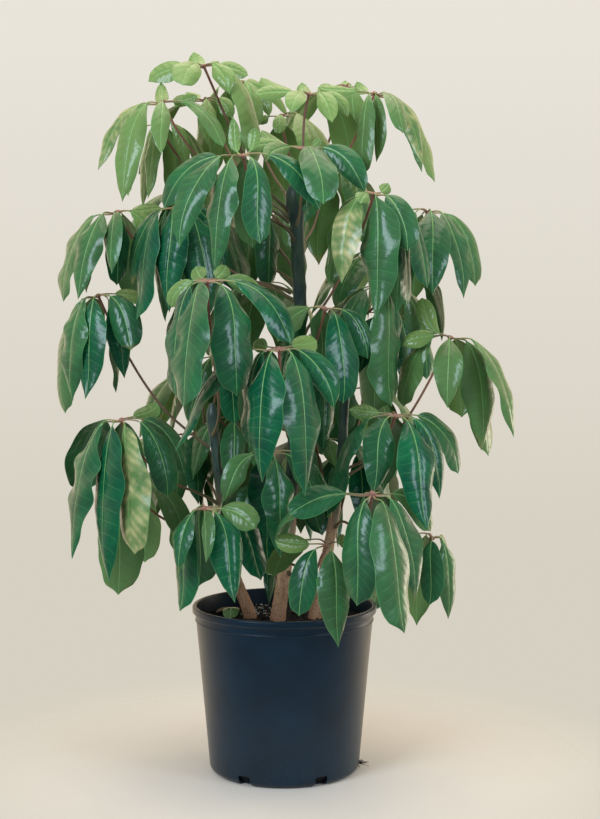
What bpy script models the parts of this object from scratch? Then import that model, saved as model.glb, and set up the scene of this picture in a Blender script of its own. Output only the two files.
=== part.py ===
# Potted umbrella tree: three woody stems in a black nursery pot, carrying long-stalked fronds.
# Each frond is one solid: a leaf stalk with a hub of drooping leaflets at its end.
# Metres, +Z up, origin at the centre of the pot's flat base, front of the plant towards -Y.

import math
import random

import bmesh
import bpy
from mathutils import Matrix, Vector
from mathutils.bvhtree import BVHTree

MM = 0.001
UP = Vector((0, 0, 1))
AWAY = Vector((0, 1, 0))

# Pot
POT_HEIGHT = 0.238
POT_RIM_RADIUS = 0.132
POT_TOP_RADIUS = 0.1285
POT_BASE_RADIUS = 0.107
POT_WALL = 0.0022
POT_FLOOR = 0.0025
POT_CORNER = 0.010
RIM_BEAD_HEIGHT = 0.010
RIM_BAND_HEIGHT = 0.021
POT_SIDES = 36
DRAIN_COUNT = 6
DRAIN_WIDTH = 0.019
DRAIN_HEIGHT = 0.014
DRAIN_FIRST_TURN = math.radians(-31)

# Soil
SOIL_TOP = 0.216
SOIL_RINGS = (0.3, 0.6, 0.88)
SOIL_ROUGHNESS = 0.0016
STEM_DEPTH = 0.060
FIT_GAP = 0.0003

# Stems: base radius, top radius, and centre points (x, y, z) in mm from the soil up
STEM_SIDES = 8
STEM_STEP = 0.055
STEMS = {
    "stem_centre": (10.0, 9.4, ((-9, -8, 216), (-4, -8, 256), (3, -4, 306), (15, 0, 480),
                               (22, 2, 660), (19, 2, 745), (16, 2, 835))),
    "stem_right": (8.8, 6.0, ((44, 4, 216), (60, 4, 300), (79, 4, 420), (86, 4, 530),
                              (88, 4, 600), (89, 4, 664))),
    "stem_left": (8.6, 5.8, ((-50, 6, 216), (-67, 10, 262), (-85, 14, 350), (-98, 16, 440),
                             (-104, 18, 520))),
}

# Leaflets lying on the soil, one dried and one still green: width, points along the rib, in mm
FALLEN_LEAVES = {
    "fallen_leaf": (26, ((-106, 26, 219), (-94, 44, 236), (-66, 56, 224))),
    "fallen_leaf_green": (24, ((-73, 38, 206), (-77, 20, 252), (-78, -8, 221))),
}
# Roots that poke out of one drain notch
ROOT_NOTCH = 2
ROOT_KNOT = 0.0030
ROOT_REACH = (0.010, 0.019)

# Frond: hub, stalk and leaflet sizes in mm
HUB_RADIUS = 5.0
HUB_HALF_HEIGHT = 2.2
STALK_RADIUS = 2.0
STALK_BASE_RADIUS = 3.6
STALK_STEPS = 4
# Blade stations: share of the blade's length, share of its half width, half thickness in mm
BLADE = ((0.0, 0.0, 1.0), (0.18, 0.66, 0.9), (0.50, 1.0, 0.8), (0.82, 0.80, 0.6))
LEAF_STALK = (0.18, 11, 30)
LEAF_BASE_HALF_WIDTH = 1.3
BLADE_FOLD = 0.16
BLADE_WAVE = 0.07
LEAF_SLENDERNESS = 0.37
HIDDEN_SLENDERNESS = 0.41
CLEARANCE = 1.1

# Fronds: stem, height on the stem, hub (x, y, z), leaflet count, then the leaflets seen from the
# front as tip offset from the hub (x, y, z) and width in the front view, all in mm.
FRONDS = {
    "frond_crown_left": ("stem_centre", 800, (-166, -50, 944), 8, (
        (-84, -20, -91, 30), (-67, 30, -65, 32), (-8, 62, 35, 28), (34, 48, 15, 24),
        (3, -70, -75, 36), (82, -14, -63, 30), (45, 26, 13, 20))),
    "frond_crown_left_rear": ("stem_centre", 788, (-180, 50, 926), 6, (
        (-46, -20, -104, 28), (-24, 14, -113, 28), (-10, -40, -104, 28), (40, -15, -62, 28))),
    "frond_top_left": ("stem_centre", 815, (-113, 0, 1001), 8, (
        (-76, 15, -20, 38), (-17, 46, 27, 26), (20, 30, 12, 14), (-40, -40, -16, 20),
        (-24, -75, -39, 38), (60, 28, -10, 26), (37, -45, -42, 30))),
    "frond_top_left_rear": ("stem_centre", 806, (-117, 80, 965), 6, (
        (-40, -30, -14, 18), (-30, 60, 18, 24), (39, -20, -27, 26), (10, -45, -69, 26))),
    "frond_top_rear": ("stem_centre", 824, (-69, 120, 995), 6, (
        (26, -50, -71, 38), (46, 0, -47, 30), (70, 30, -44, 28), (35, 70, 6, 30))),
    "frond_star": ("stem_centre", 772, (-54, -120, 865), 8, (
        (-14, 26, 52, 22), (16, 14, 38, 22), (-107, 10, -70, 34), (-82, -50, -118, 44),
        (-44, -80, -137, 48), (31, -70, -110, 46), (100, -10, -70, 40))),
    "frond_top": ("stem_centre", 832, (35, -20, 960), 8, (
        (-68, 30, 27, 20), (-74, -14, -4, 28), (-10, 54, 22, 22), (-24, -70, -33, 34),
        (31, -60, -46, 34), (53, -20, -33, 32), (37, 60, 18, 32))),
    "frond_top_small": ("stem_centre", 819, (-5, 100, 944), 5, (
        (-33, 0, -12, 22), (-3, -35, -30, 24), (35, 0, -16, 24))),
    "frond_upper_middle": ("stem_centre", 795, (25, -50, 882), 8, (
        (-73, -26, 3, 26), (-56, 26, 28, 18), (-48, -66, -24, 34), (25, 14, 15, 14),
        (84, -40, -60, 46), (90, 24, -50, 30))),
    "frond_top_right": ("stem_centre", 812, (127, 0, 962), 9, (
        (-79, -10, 7, 24), (-23, 44, 23, 22), (-20, -50, -118, 32), (-16, 34, -78, 22),
        (2, -36, -94, 28), (20, -65, -85, 28), (50, -42, -108, 34), (66, -2, -104, 32),
        (84, 30, -121, 30))),
    "frond_top_right_rear": ("stem_centre", 827, (90, 100, 987), 5, (
        (-24, -14, -10, 24), (30, -4, -8, 24), (0, 50, 14, 24))),
    "frond_upper_right_front": ("stem_centre", 640, (121, -120, 814), 8, (
        (-20, -38, -15, 24), (-46, -40, -114, 42), (5, -75, -150, 50), (48, -60, -67, 40),
        (72, 6, -125, 32), (52, 44, -150, 38), (22, 30, 12, 18))),
    "frond_right_inner": ("stem_right", 645, (144, 0, 690), 6, (
        (20, -30, -128, 34), (2, -55, -165, 44), (46, 14, -110, 34))),
    "frond_upper_right": ("stem_right", 618, (205, 20, 799), 7, (
        (68, -20, -106, 34), (60, 28, -88, 24), (46, -60, -118, 38))),
    "frond_right_outer": ("stem_right", 436, (233, -30, 621), 8, (
        (-38, 30, 56, 28), (-67, 10, -12, 28), (-10, -70, -90, 44), (47, -24, -150, 48),
        (98, 10, -146, 34), (84, -46, -130, 28), (-52, 20, -108, 28))),
    "frond_right_front": ("stem_right", 436, (152, -100, 516), 8, (
        (-62, 20, 8, 20), (-32, -60, -97, 46), (34, -80, -140, 52), (63, -14, -107, 34),
        (93, 40, -84, 32), (50, 20, -150, 26))),
    "frond_low_right": ("stem_right", 292, (214, 20, 332), 5, (
        (-6, -40, -92, 34), (24, -8, -114, 32), (30, 40, -60, 28))),
    "frond_low_right_front": ("stem_right", 366, (117, -180, 417), 8, (
        (-108, -20, -24, 36), (-24, -60, -136, 46), (32, -84, -166, 44), (56, -16, -132, 34),
        (82, 32, -53, 32), (-18, 26, -140, 20))),
    "frond_low_middle": ("stem_centre", 300, (58, -140, 345), 5, (
        (-69, -30, 10, 28), (-38, -46, -88, 38), (14, -60, -120, 46), (32, 30, 2, 20))),
    "frond_middle_front": ("stem_centre", 520, (-5, -200, 609), 8, (
        (-26, -80, -156, 52), (38, -56, -176, 48), (69, -20, -73, 38), (50, 50, 10, 26),
        (-42, 10, -128, 34), (-35, 34, 8, 20))),
    "frond_left_front": ("stem_left", 497, (-98, -180, 697), 9, (
        (-18, 44, 20, 30), (22, 36, 22, 30), (-50, 8, -34, 28), (-44, -36, -148, 38),
        (-18, -82, -172, 48), (44, -62, -146, 48), (96, -15, -96, 36), (70, 32, -20, 28))),
    "frond_left_upper_outer": ("stem_centre", 700, (-236, 0, 797), 8, (
        (-81, 2, -126, 28), (-46, -56, -118, 38), (-55, 36, -108, 28), (-10, -66, -84, 30),
        (6, -30, -100, 32), (42, 2, -43, 26), (58, 34, 8, 20))),
    "frond_left_upper": ("stem_centre", 688, (-149, -60, 800), 8, (
        (-46, -30, -154, 30), (-8, -75, -128, 44), (66, 6, -80, 40), (-64, 22, -100, 28),
        (-22, 10, -150, 28))),
    "frond_left_outer": ("stem_left", 480, (-260, -30, 679), 8, (
        (-58, 12, -166, 34), (-38, -42, -138, 32), (-10, -74, -126, 48), (51, -48, -75, 42),
        (36, -8, -110, 28), (70, 32, -10, 20), (24, 40, -138, 30))),
    "frond_low_left_outer": ("stem_left", 398, (-223, -80, 508), 8, (
        (-66, -22, -180, 38), (-34, -74, -198, 50), (24, -64, -176, 48), (66, -16, -104, 38),
        (84, 34, -76, 34), (45, 54, 18, 22))),
    "frond_low_left_rear": ("stem_left", 342, (-221, 50, 404), 5, (
        (60, -20, -95, 32), (-35, 2, -50, 26))),
    "frond_low_left_front": ("stem_left", 300, (-107, -120, 392), 7, (
        (-34, -44, -78, 28), (-30, -6, -140, 36), (6, -70, -60, 20), (34, -66, -112, 46),
        (70, -34, -24, 44), (74, 6, -100, 34))),
    "frond_inner_right": ("stem_right", 384, (44, 70, 470), 6, (
        (22, 30, 50, 28), (30, -30, -38, 32))),
    "frond_inner_low": ("stem_centre", 372, (-20, -70, 462), 6, (
        (17, -50, -132, 44), (-60, -30, -60, 34), (56, -30, -70, 34))),
    "frond_inner_low_rear": ("stem_centre", 316, (-16, 60, 408), 6, (
        (-46, -30, -96, 44), (34, -44, -84, 40), (70, 0, -80, 40))),
    "frond_inner_left": ("stem_left", 508, (-76, 60, 500), 6, (
        (4, -52, -100, 38), (-34, -14, -96, 26), (50, -20, -90, 34))),
    "frond_inner_upper": ("stem_centre", 726, (-30, 70, 800), 6, (
        (-25, -30, -112, 34), (18, -40, -116, 34), (56, 20, -90, 34))),
    "frond_inner_middle": ("stem_centre", 580, (57, -70, 662), 6, (
        (26, -56, -128, 44), (-64, -20, -44, 38), (60, 0, -70, 34))),
    "frond_inner_low_left": ("stem_left", 395, (-136, 112, 474), 6, (
        (-24, -30, -104, 36), (22, -40, -110, 38), (4, 10, -128, 34))),
    "frond_inner_centre": ("stem_centre", 455, (46, 92, 574), 6, (
        (-34, -40, -104, 38), (14, -50, -118, 40), (48, 0, -96, 36))),
    "frond_inner_foot": ("stem_centre", 268, (-30, 44, 374), 5, (
        (6, -24, -108, 38), (-50, -10, -74, 34))),
    "frond_inner_low_right": ("stem_right", 350, (96, 84, 448), 6, (
        (-30, -36, -100, 36), (20, -44, -108, 38), (52, -8, -86, 32))),
    "frond_inner_left_high": ("stem_left", 500, (-92, 92, 590), 5, (
        (-34, -30, -106, 38), (12, -50, -114, 40), (46, -10, -100, 36))),
    "frond_inner_right_high": ("stem_right", 575, (156, 92, 652), 5, (
        (-24, -40, -112, 38), (26, -40, -118, 40), (56, 0, -96, 34))),
}

# Fronds at the back, hidden from the front: stem, height on the stem, hub, leaflet count
REAR_FRONDS = {
    "frond_rear_1": ("stem_centre", 712, (-140, 160, 836), 5),
    "frond_rear_2": ("stem_centre", 758, (60, 180, 880), 6),
    "frond_rear_3": ("stem_right", 638, (150, 160, 746), 5),
    "frond_rear_4": ("stem_centre", 610, (-40, 200, 700), 6),
    "frond_rear_5": ("stem_left", 450, (-130, 180, 566), 5),
    "frond_rear_6": ("stem_right", 480, (120, 190, 540), 5),
    "frond_rear_7": ("stem_centre", 400, (-10, 190, 440), 5),
}
FILL_LENGTH = (135, 178)
FILL_DROOP = (38, 66)

COLOURS = {
    "pot": ((0.018, 0.026, 0.036), 0.42),
    "soil": ((0.012, 0.010, 0.009), 0.95),
    "stem": ((0.30, 0.20, 0.12), 0.8),
    "frond": ((0.045, 0.17, 0.055), 0.35),
    "litter": ((0.20, 0.12, 0.06), 0.85),
}


def remove_everything():
    for item in list(bpy.data.objects):
        bpy.data.objects.remove(item)


def add_object(name, bm, colour, smooth=True):
    mesh = bpy.data.meshes.new(name)
    bm.to_mesh(mesh)
    bm.free()
    if smooth:
        mesh.shade_smooth()
        mesh.set_sharp_from_angle(angle=math.radians(40))
    item = bpy.data.objects.new(name, mesh)
    bpy.context.scene.collection.objects.link(item)
    item.data.materials.append(plain_material(name, *COLOURS[colour]))
    return item


def plain_material(name, colour, roughness):
    material = bpy.data.materials.new(name)
    material.use_nodes = True
    shader = material.node_tree.nodes["Principled BSDF"]
    shader.inputs["Base Color"].default_value = (*colour, 1.0)
    shader.inputs["Roughness"].default_value = roughness
    shader.inputs["Metallic"].default_value = 0.0
    return material


def turned_solid(profile, sides):
    # Spins a closed (radius, height) profile whose first and last points lie on the axis.
    bm = bmesh.new()
    verts = [bm.verts.new((radius, 0, height)) for radius, height in profile]
    edges = [bm.edges.new(pair) for pair in zip(verts, verts[1:])]
    bmesh.ops.spin(bm, geom=verts + edges, cent=(0, 0, 0), axis=UP, angle=math.tau, steps=sides,
                   use_merge=True)
    bmesh.ops.remove_doubles(bm, verts=bm.verts, dist=1e-6)
    bmesh.ops.recalc_face_normals(bm, faces=bm.faces)
    return bm


def cut(item, cutter):
    cutter.hide_render = True
    cutter.display_type = "WIRE"
    boolean = item.modifiers.new("cut_" + cutter.name, "BOOLEAN")
    boolean.operation = "DIFFERENCE"
    boolean.solver = "EXACT"
    boolean.object = cutter


def body_radius(height):
    return POT_BASE_RADIUS + (POT_TOP_RADIUS - POT_BASE_RADIUS) * height / POT_HEIGHT


def corner(radius, bend, height):
    # Quarter round from the flat base to the wall.
    turns = (math.radians(step) for step in (0, 30, 60, 90))
    return [(radius - bend + bend * math.sin(turn), height + bend - bend * math.cos(turn))
            for turn in turns]


def pot_profile():
    bead = POT_HEIGHT - RIM_BEAD_HEIGHT
    band = POT_HEIGHT - RIM_BAND_HEIGHT
    lip = 0.0015
    outside = [(0, 0)] + corner(body_radius(POT_CORNER), POT_CORNER, 0)
    outside += [(body_radius(band), band - 0.001), (body_radius(band) + 0.0014, band)]
    outside += [(body_radius(bead) + 0.0012, bead - 0.001), (POT_RIM_RADIUS - lip, bead)]
    outside += [(POT_RIM_RADIUS, bead + lip), (POT_RIM_RADIUS, POT_HEIGHT - lip)]
    outside += [(POT_RIM_RADIUS - lip, POT_HEIGHT), (POT_TOP_RADIUS - POT_WALL + lip, POT_HEIGHT)]
    inside = [(radius - POT_WALL, height) for radius, height in
              reversed(corner(body_radius(POT_CORNER), POT_CORNER, POT_FLOOR))]
    inside.insert(0, (body_radius(POT_HEIGHT) - POT_WALL, POT_HEIGHT - lip))
    return outside + inside + [(0, POT_FLOOR)]


def make_pot():
    pot = add_object("pot", turned_solid(pot_profile(), POT_SIDES), "pot")
    for index in range(DRAIN_COUNT):
        turn = DRAIN_FIRST_TURN + index * math.tau / DRAIN_COUNT
        bm = bmesh.new()
        place = Matrix.Rotation(turn, 4, "Z") @ Matrix.Translation((0, -POT_BASE_RADIUS, 0))
        bmesh.ops.create_cube(bm, size=1.0, matrix=place @ Matrix.Diagonal(
            (DRAIN_WIDTH, 0.026, 2 * DRAIN_HEIGHT, 1)))
        cut(pot, add_object(f"drain_cutter_{index + 1}", bm, "pot", smooth=False))
    return pot


def make_soil(rng):
    wall = POT_WALL + FIT_GAP
    floor = POT_FLOOR + FIT_GAP
    profile = [(0, floor)]
    profile += [(radius - wall, height) for radius, height in
                corner(body_radius(POT_CORNER), POT_CORNER, floor)]
    top_radius = body_radius(SOIL_TOP) - wall
    profile += [(top_radius, SOIL_TOP)]
    profile += [(top_radius * share, SOIL_TOP) for share in reversed(SOIL_RINGS)]
    profile += [(0, SOIL_TOP)]
    # The soil is turned with the pot's own sides, which keeps an even gap to it.
    bm = turned_solid(profile, POT_SIDES)
    for vert in bm.verts:
        inner = math.hypot(vert.co.x, vert.co.y) < 0.95 * top_radius
        if inner and vert.co.z > 0.9 * SOIL_TOP:
            vert.co.z += rng.uniform(-1, 1) * SOIL_ROUGHNESS
    soil = add_object("soil", bm, "soil")
    for name, (base_radius, _, route) in STEMS.items():
        hole = bmesh.new()
        centre = Vector(route[0]) * MM
        bmesh.ops.create_cone(hole, cap_ends=True, segments=16, radius1=base_radius * MM + 0.0005,
                              radius2=base_radius * MM + 0.0005, depth=2 * STEM_DEPTH,
                              matrix=Matrix.Translation(centre))
        cut(soil, add_object(name + "_hole_cutter", hole, "soil", smooth=False))
    return soil


def loose_leaf_rings(shape):
    # The rings of a leaflet off its hub: a short foot of stalk, the blade and its tip.
    rings = leaflet_rings(shape)
    along = (shape["curve"][1] - shape["curve"][0]).normalized()
    return [[point - along * 3 * MM for point in rings[0]]] + rings + [[shape["curve"][2]] * 4]


def make_fallen_leaf(name, soil_tree):
    # One loose leaflet, lowered until the lines between its rings rest on the soil.
    width, route = FALLEN_LEAVES[name]
    start, middle, tip = (Vector(point) * MM for point in route)
    side = UP.cross((tip - start).normalized())
    shape = {"curve": (start, middle, tip), "width": width * MM, "roll": 0.0, "side": side,
             "wave": 0.6}
    rings = loose_leaf_rings(shape)
    points = [low.lerp(high, step / 6) for ring, following in zip(rings, rings[1:])
              for low, high in zip(ring, following) for step in range(7)]
    drop = min(soil_tree[2].ray_cast(point, -UP)[3] for point in points) - FIT_GAP
    shape["curve"] = tuple(point - UP * drop for point in shape["curve"])
    bm = bmesh.new()
    foot = [bm.verts.new(point) for point in loose_leaf_rings(shape)[0]]
    grow_leaflet(bm, bm.faces.new(foot), shape)
    bmesh.ops.holes_fill(bm, edges=bm.edges)
    bmesh.ops.recalc_face_normals(bm, faces=bm.faces)
    return add_object(name, bm, "litter")


def make_drain_roots(soil_tree, rng):
    # A root knot against the soil in one drain notch, with thin strands raised from its faces.
    turn = DRAIN_FIRST_TURN + ROOT_NOTCH * math.tau / DRAIN_COUNT
    outward = Matrix.Rotation(turn, 3, "Z") @ -AWAY
    level = UP * DRAIN_HEIGHT * 0.5
    soil_face = soil_tree[2].ray_cast(level + outward * POT_RIM_RADIUS, -outward)[0]
    centre = soil_face + outward * (ROOT_KNOT + FIT_GAP)
    bm = bmesh.new()
    bmesh.ops.create_icosphere(bm, subdivisions=1, radius=ROOT_KNOT,
                               matrix=Matrix.Translation(centre))
    bm.normal_update()
    strands = [face for face in bm.faces if face.normal.dot(outward) > 0.55]
    for face in strands:
        middle = face.calc_center_median()
        outline = [vert.co.copy() for vert in face.verts]
        reach = face.normal * rng.uniform(*ROOT_REACH)
        reach.z = max(reach.z, -middle.z * 0.6)
        for share, scale in ((0.45, 0.5), (1.0, 0.22)):
            face = raise_ring(bm, face, [middle + reach * share + (corner_point - middle) * scale
                                         for corner_point in outline])
    bmesh.ops.recalc_face_normals(bm, faces=bm.faces)
    return add_object("drain_roots", bm, "litter")


def stem_centre_at(name, height):
    # Smooth curve through the stem's centre points, as a function of height.
    points = [Vector(point) * MM for point in STEMS[name][2]]
    height = min(max(height, points[0].z), points[-1].z)
    last = len(points) - 1
    index = min(sum(point.z <= height for point in points) - 1, last - 1)
    before, low, high, after = (points[min(max(index + step, 0), last)] for step in (-1, 0, 1, 2))
    share = (height - low.z) / (high.z - low.z)
    rise_low = (high - before) * ((high.z - low.z) / (high.z - before.z))
    rise_high = (after - low) * ((high.z - low.z) / (after.z - low.z))
    centre = (low * (2 * share**3 - 3 * share**2 + 1) + rise_low * (share**3 - 2 * share**2 + share)
              + high * (3 * share**2 - 2 * share**3) + rise_high * (share**3 - share**2))
    return Vector((centre.x, centre.y, height))


def stem_radius_at(name, height):
    base_radius, top_radius, route = STEMS[name]
    share = (height - route[0][2] * MM) / ((route[-1][2] - route[0][2]) * MM)
    return (base_radius + (top_radius - base_radius) * min(max(share, 0), 1) ** 0.6) * MM


def ring_points(centre, radius, sides, side, front):
    turns = (math.tau * index / sides for index in range(sides))
    return [centre + (side * math.cos(turn) + front * math.sin(turn)) * radius for turn in turns]


def raise_ring(bm, face, points):
    # Extrudes one face and moves its corners to the points; returns the new face.
    raised = bmesh.ops.extrude_discrete_faces(bm, faces=[face])["faces"][0]
    for vert, point in zip(raised.verts, points):
        vert.co = point
    return raised


def make_stem(name):
    route = STEMS[name][2]
    bottom = SOIL_TOP - STEM_DEPTH + FIT_GAP
    foot = stem_centre_at(name, SOIL_TOP)
    top = route[-1][2] * MM
    steps = round((top - SOIL_TOP) / STEM_STEP)
    heights = [bottom] + [SOIL_TOP + 0.004 + (top - SOIL_TOP - 0.004) * step / steps
                          for step in range(steps + 1)]
    x_side, y_side = Vector((1, 0, 0)), Vector((0, 1, 0))
    bm = bmesh.new()
    first = [bm.verts.new(point) for point in
             ring_points(Vector((foot.x, foot.y, bottom)), stem_radius_at(name, 0), STEM_SIDES,
                         x_side, y_side)]
    face = bm.faces.new(first)
    for height in heights[1:]:
        centre = stem_centre_at(name, height)
        if height < SOIL_TOP + 0.005:
            centre = Vector((foot.x, foot.y, height))
        face = raise_ring(bm, face, ring_points(centre, stem_radius_at(name, height), STEM_SIDES,
                                                x_side, y_side))
    bud = stem_centre_at(name, top) + UP * 0.006
    face = raise_ring(bm, face, ring_points(bud, stem_radius_at(name, top) * 0.5, STEM_SIDES,
                                            x_side, y_side))
    bmesh.ops.holes_fill(bm, edges=bm.edges)
    bmesh.ops.recalc_face_normals(bm, faces=bm.faces)
    return add_object(name, bm, "stem")


def bezier(points, share):
    points = list(points)
    while len(points) > 1:
        points = [low.lerp(high, share) for low, high in zip(points, points[1:])]
    return points[0]


def bezier_direction(points, share):
    steps = [high - low for low, high in zip(points, points[1:])]
    return bezier(steps, share).normalized()


def tree_of(rings, tip):
    # Bounding tree of a four-point tube, with its bounding box.
    points = [point for ring in rings for point in ring] + [tip]
    triangles = []
    for start in range(0, len(points) - 5, 4):
        for index in range(4):
            low, low_next = start + index, start + (index + 1) % 4
            triangles += [(low, low_next, low + 4), (low_next, low_next + 4, low + 4)]
    last = len(points) - 5
    triangles += [(last + index, last + (index + 1) % 4, last + 4) for index in range(4)]
    return boxed_tree(points, triangles)


def boxed_tree(points, triangles):
    low = Vector([min(point[axis] for point in points) for axis in range(3)])
    high = Vector([max(point[axis] for point in points) for axis in range(3)])
    return low, high, BVHTree.FromPolygons(points, triangles)


def meet(first, second):
    if any(first[0][axis] > second[1][axis] or second[0][axis] > first[1][axis]
           for axis in range(3)):
        return False
    return bool(first[2].overlap(second[2]))


def object_tree(item):
    depsgraph = bpy.context.evaluated_depsgraph_get()
    bm = bmesh.new()
    bm.from_object(item, depsgraph)
    bmesh.ops.triangulate(bm, faces=bm.faces)
    points = [vert.co.copy() for vert in bm.verts]
    triangles = [[vert.index for vert in face.verts] for face in bm.faces]
    bm.free()
    return boxed_tree(points, triangles)


def hub_frame(frond):
    # The hub's axis leans outwards with the stalk; the other two directions span its disc.
    axis = (frond["outward"] * 0.45 + UP).normalized()
    side = Vector((1, 0, 0)) - axis * axis.x
    side.normalize()
    return axis, side, axis.cross(side)


def plan_stalk(frond, stem_tree, height_shift, turn, bow):
    # The stalk leaves the stem square to its surface and comes up under the hub.
    centre = stem_centre_at(frond["stem"], frond["height"] + height_shift)
    outward = frond["hub"] - centre
    outward.z = 0
    outward = Matrix.Rotation(turn, 3, "Z") @ outward.normalized()
    seat, square, _, _ = stem_tree[2].ray_cast(centre + outward * 0.05, -outward)
    start = seat + square * FIT_GAP
    end = frond["hub"] - frond["axis"] * 7 * MM
    reach = (end - start).length
    return start, start + square * reach * 0.24, end - frond["axis"] * reach * (0.40 + bow), end


def stalk_rings(route, sides, angles, axis_frame, grow=0.0):
    # Rings from the hub end down to the stem, with the frame carried along without twist.
    axis, side, front = axis_frame
    rings = []
    for step in range(STALK_STEPS + 1):
        share = 1 - step / STALK_STEPS
        direction = bezier_direction(route, share)
        turn = axis.rotation_difference(direction)
        axis, side, front = direction, turn @ side, turn @ front
        near_stem = max(0.0, 1 - share * 5)
        radius = (STALK_RADIUS + (STALK_BASE_RADIUS - STALK_RADIUS) * near_stem) * MM + grow
        centre = bezier(route, share)
        rings.append([centre + (side * math.cos(angle) + front * math.sin(angle)) * radius
                      for angle in angles])
    return rings


def stalk_tree(frond, route, grow):
    angles = [math.tau * index / 4 for index in range(4)]
    rings = stalk_rings(route, 4, angles, (frond["axis"], frond["side"], frond["front"]), grow)
    hub = [[frond["hub"] + frond["axis"] * rise * MM + (
        frond["side"] * math.cos(angle) + frond["front"] * math.sin(angle))
        * ((HUB_RADIUS + 2) * MM + grow) for angle in angles] for rise in (4, -4)]
    return tree_of(hub + rings, route[0])


def place_stalk(frond, stem_trees, solids, stalk_trees):
    moves = [(shift, turn, bow) for shift in (0, 12, -12, 24, -24, 38, -38)
             for turn in (0, 25, -25, 50, -50, 75, -75) for bow in (0.0, 0.12, -0.1)]
    moves.sort(key=lambda move: abs(move[0]) / 12 + abs(move[1]) / 25 + abs(move[2]) * 6)
    for shift, turn, bow in moves:
        route = plan_stalk(frond, stem_trees[frond["stem"]], shift * MM, math.radians(turn), bow)
        wide = stalk_tree(frond, route, CLEARANCE * MM)
        bare = stalk_tree(frond, route, 0.0)
        others = solids + stalk_trees + [tree for name, tree in stem_trees.items()
                                         if name != frond["stem"]]
        if meet(bare, stem_trees[frond["stem"]]) or any(meet(wide, tree) for tree in others):
            continue
        frond["route"] = route
        frond["stalk_tree"] = bare
        stalk_trees.append(bare)
        return
    raise RuntimeError("no clear way for the stalk of " + frond["name"])


def fill_leaflets(leaflets, count, rng):
    # Adds leaflets in the widest gaps around the hub until the count is reached.
    leaflets = list(leaflets)
    while len(leaflets) < count:
        bearings = sorted(math.atan2(leaflet[1], leaflet[0]) for leaflet in leaflets)
        if bearings:
            gaps = [(after - before, before) for before, after in
                    zip(bearings, bearings[1:] + [bearings[0] + math.tau])]
            gap, before = max(gaps)
            bearing = before + gap / 2 + rng.uniform(-0.08, 0.08)
        else:
            bearing = rng.uniform(0, math.tau)
        length = rng.uniform(*FILL_LENGTH)
        droop = math.radians(rng.uniform(*FILL_DROOP))
        flat = length * math.cos(droop)
        leaflets.append((flat * math.cos(bearing), flat * math.sin(bearing),
                         -length * math.sin(droop), None))
    return leaflets


def spaced_angles(angles):
    # Pushes neighbouring hub angles apart until each leaflet has room for its stalk.
    angles = list(angles)
    count = len(angles)
    least = 0.62 * math.tau / count
    for _ in range(80):
        for index in range(count):
            after = (index + 1) % count
            gap = angles[after] - angles[index] + (math.tau if after == 0 else 0)
            push = max(0.0, least - gap) / 2
            angles[index] -= push
            angles[after] += push
    return angles


def plan_frond(name, stem, height, hub, count, leaflets, rng):
    hub = Vector(hub) * MM
    outward = hub - stem_centre_at(stem, height * MM)
    outward.z = 0
    frond = {"name": name, "stem": stem, "height": height * MM, "hub": hub,
             "outward": outward.normalized()}
    frond["axis"], frond["side"], frond["front"] = hub_frame(frond)
    planned = []
    for x, y, z, width in fill_leaflets(leaflets, count, rng):
        offset = Vector((x, y, z)) * MM
        level = Vector((x, y, 0)).normalized()
        angle = math.atan2(level.dot(frond["front"]), level.dot(frond["side"]))
        planned.append({"offset": offset, "width": width and width * MM, "angle": angle,
                        "tilt": math.radians(rng.uniform(-14, 14)),
                        "wave": rng.uniform(0, math.tau)})
    planned.sort(key=lambda leaflet: leaflet["angle"])
    for leaflet, angle in zip(planned, spaced_angles([leaflet["angle"] for leaflet in planned])):
        leaflet["angle"] = angle
    frond["leaflets"] = planned
    return frond


def leaflet_roll(curve, side, front_width, true_width):
    # Roll about the rib that shows the asked width from the front, with the upper face forward.
    direction = bezier_direction(curve, 0.6)
    side = (side - direction * side.dot(direction)).normalized()
    normal = direction.cross(side)
    seen_length = math.hypot(direction.x, direction.z) + 1e-6
    target = -min(1.0, front_width / true_width) * seen_length
    rolls = [math.radians(step) for step in range(-65, 66, 5)]
    return min(rolls, key=lambda roll: abs(normal.dot(AWAY) * math.cos(roll)
                                           - side.dot(AWAY) * math.sin(roll) - target)
               + 0.05 * abs(roll))


def shape_leaflet(frond, leaflet, reach, turn, droop):
    # Curve of the rib from the hub to the tip, the blade's width and its roll.
    offset = leaflet["offset"] * reach
    level = Vector((offset.x, offset.y, 0))
    level = Matrix.Rotation(turn, 3, "Z") @ level
    flat = level.length
    bearing = level.normalized()
    pitch = math.atan2(offset.z, flat) - droop
    length = offset.length
    tip = frond["hub"] + (bearing * math.cos(pitch) + UP * math.sin(pitch)) * length
    radial = frond["side"] * math.cos(leaflet["angle"]) + frond["front"] * math.sin(leaflet["angle"])
    start = frond["hub"] + radial * (HUB_RADIUS + 1) * MM
    flat = length * math.cos(pitch)
    bow = frond["hub"] + bearing * (0.62 * flat + 0.10 * length) + UP * 0.07 * length
    side = UP.cross(bearing)
    width = HIDDEN_SLENDERNESS * length
    if leaflet["width"]:
        width = min(max(leaflet["width"], LEAF_SLENDERNESS * length), 0.45 * length)
    curve = (start, bow, tip)
    roll = leaflet["tilt"]
    if leaflet["width"]:
        roll = leaflet_roll(curve, side, leaflet["width"], width)
    return {"curve": curve, "width": width, "roll": roll, "side": side, "wave": leaflet["wave"]}


def stalk_share(shape):
    # Share of the rib's curve taken by the leaflet's own stalk.
    share, least, most = LEAF_STALK
    length = (shape["curve"][2] - shape["curve"][0]).length
    return min(max(share * length, least * MM), most * MM) / length


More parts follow.
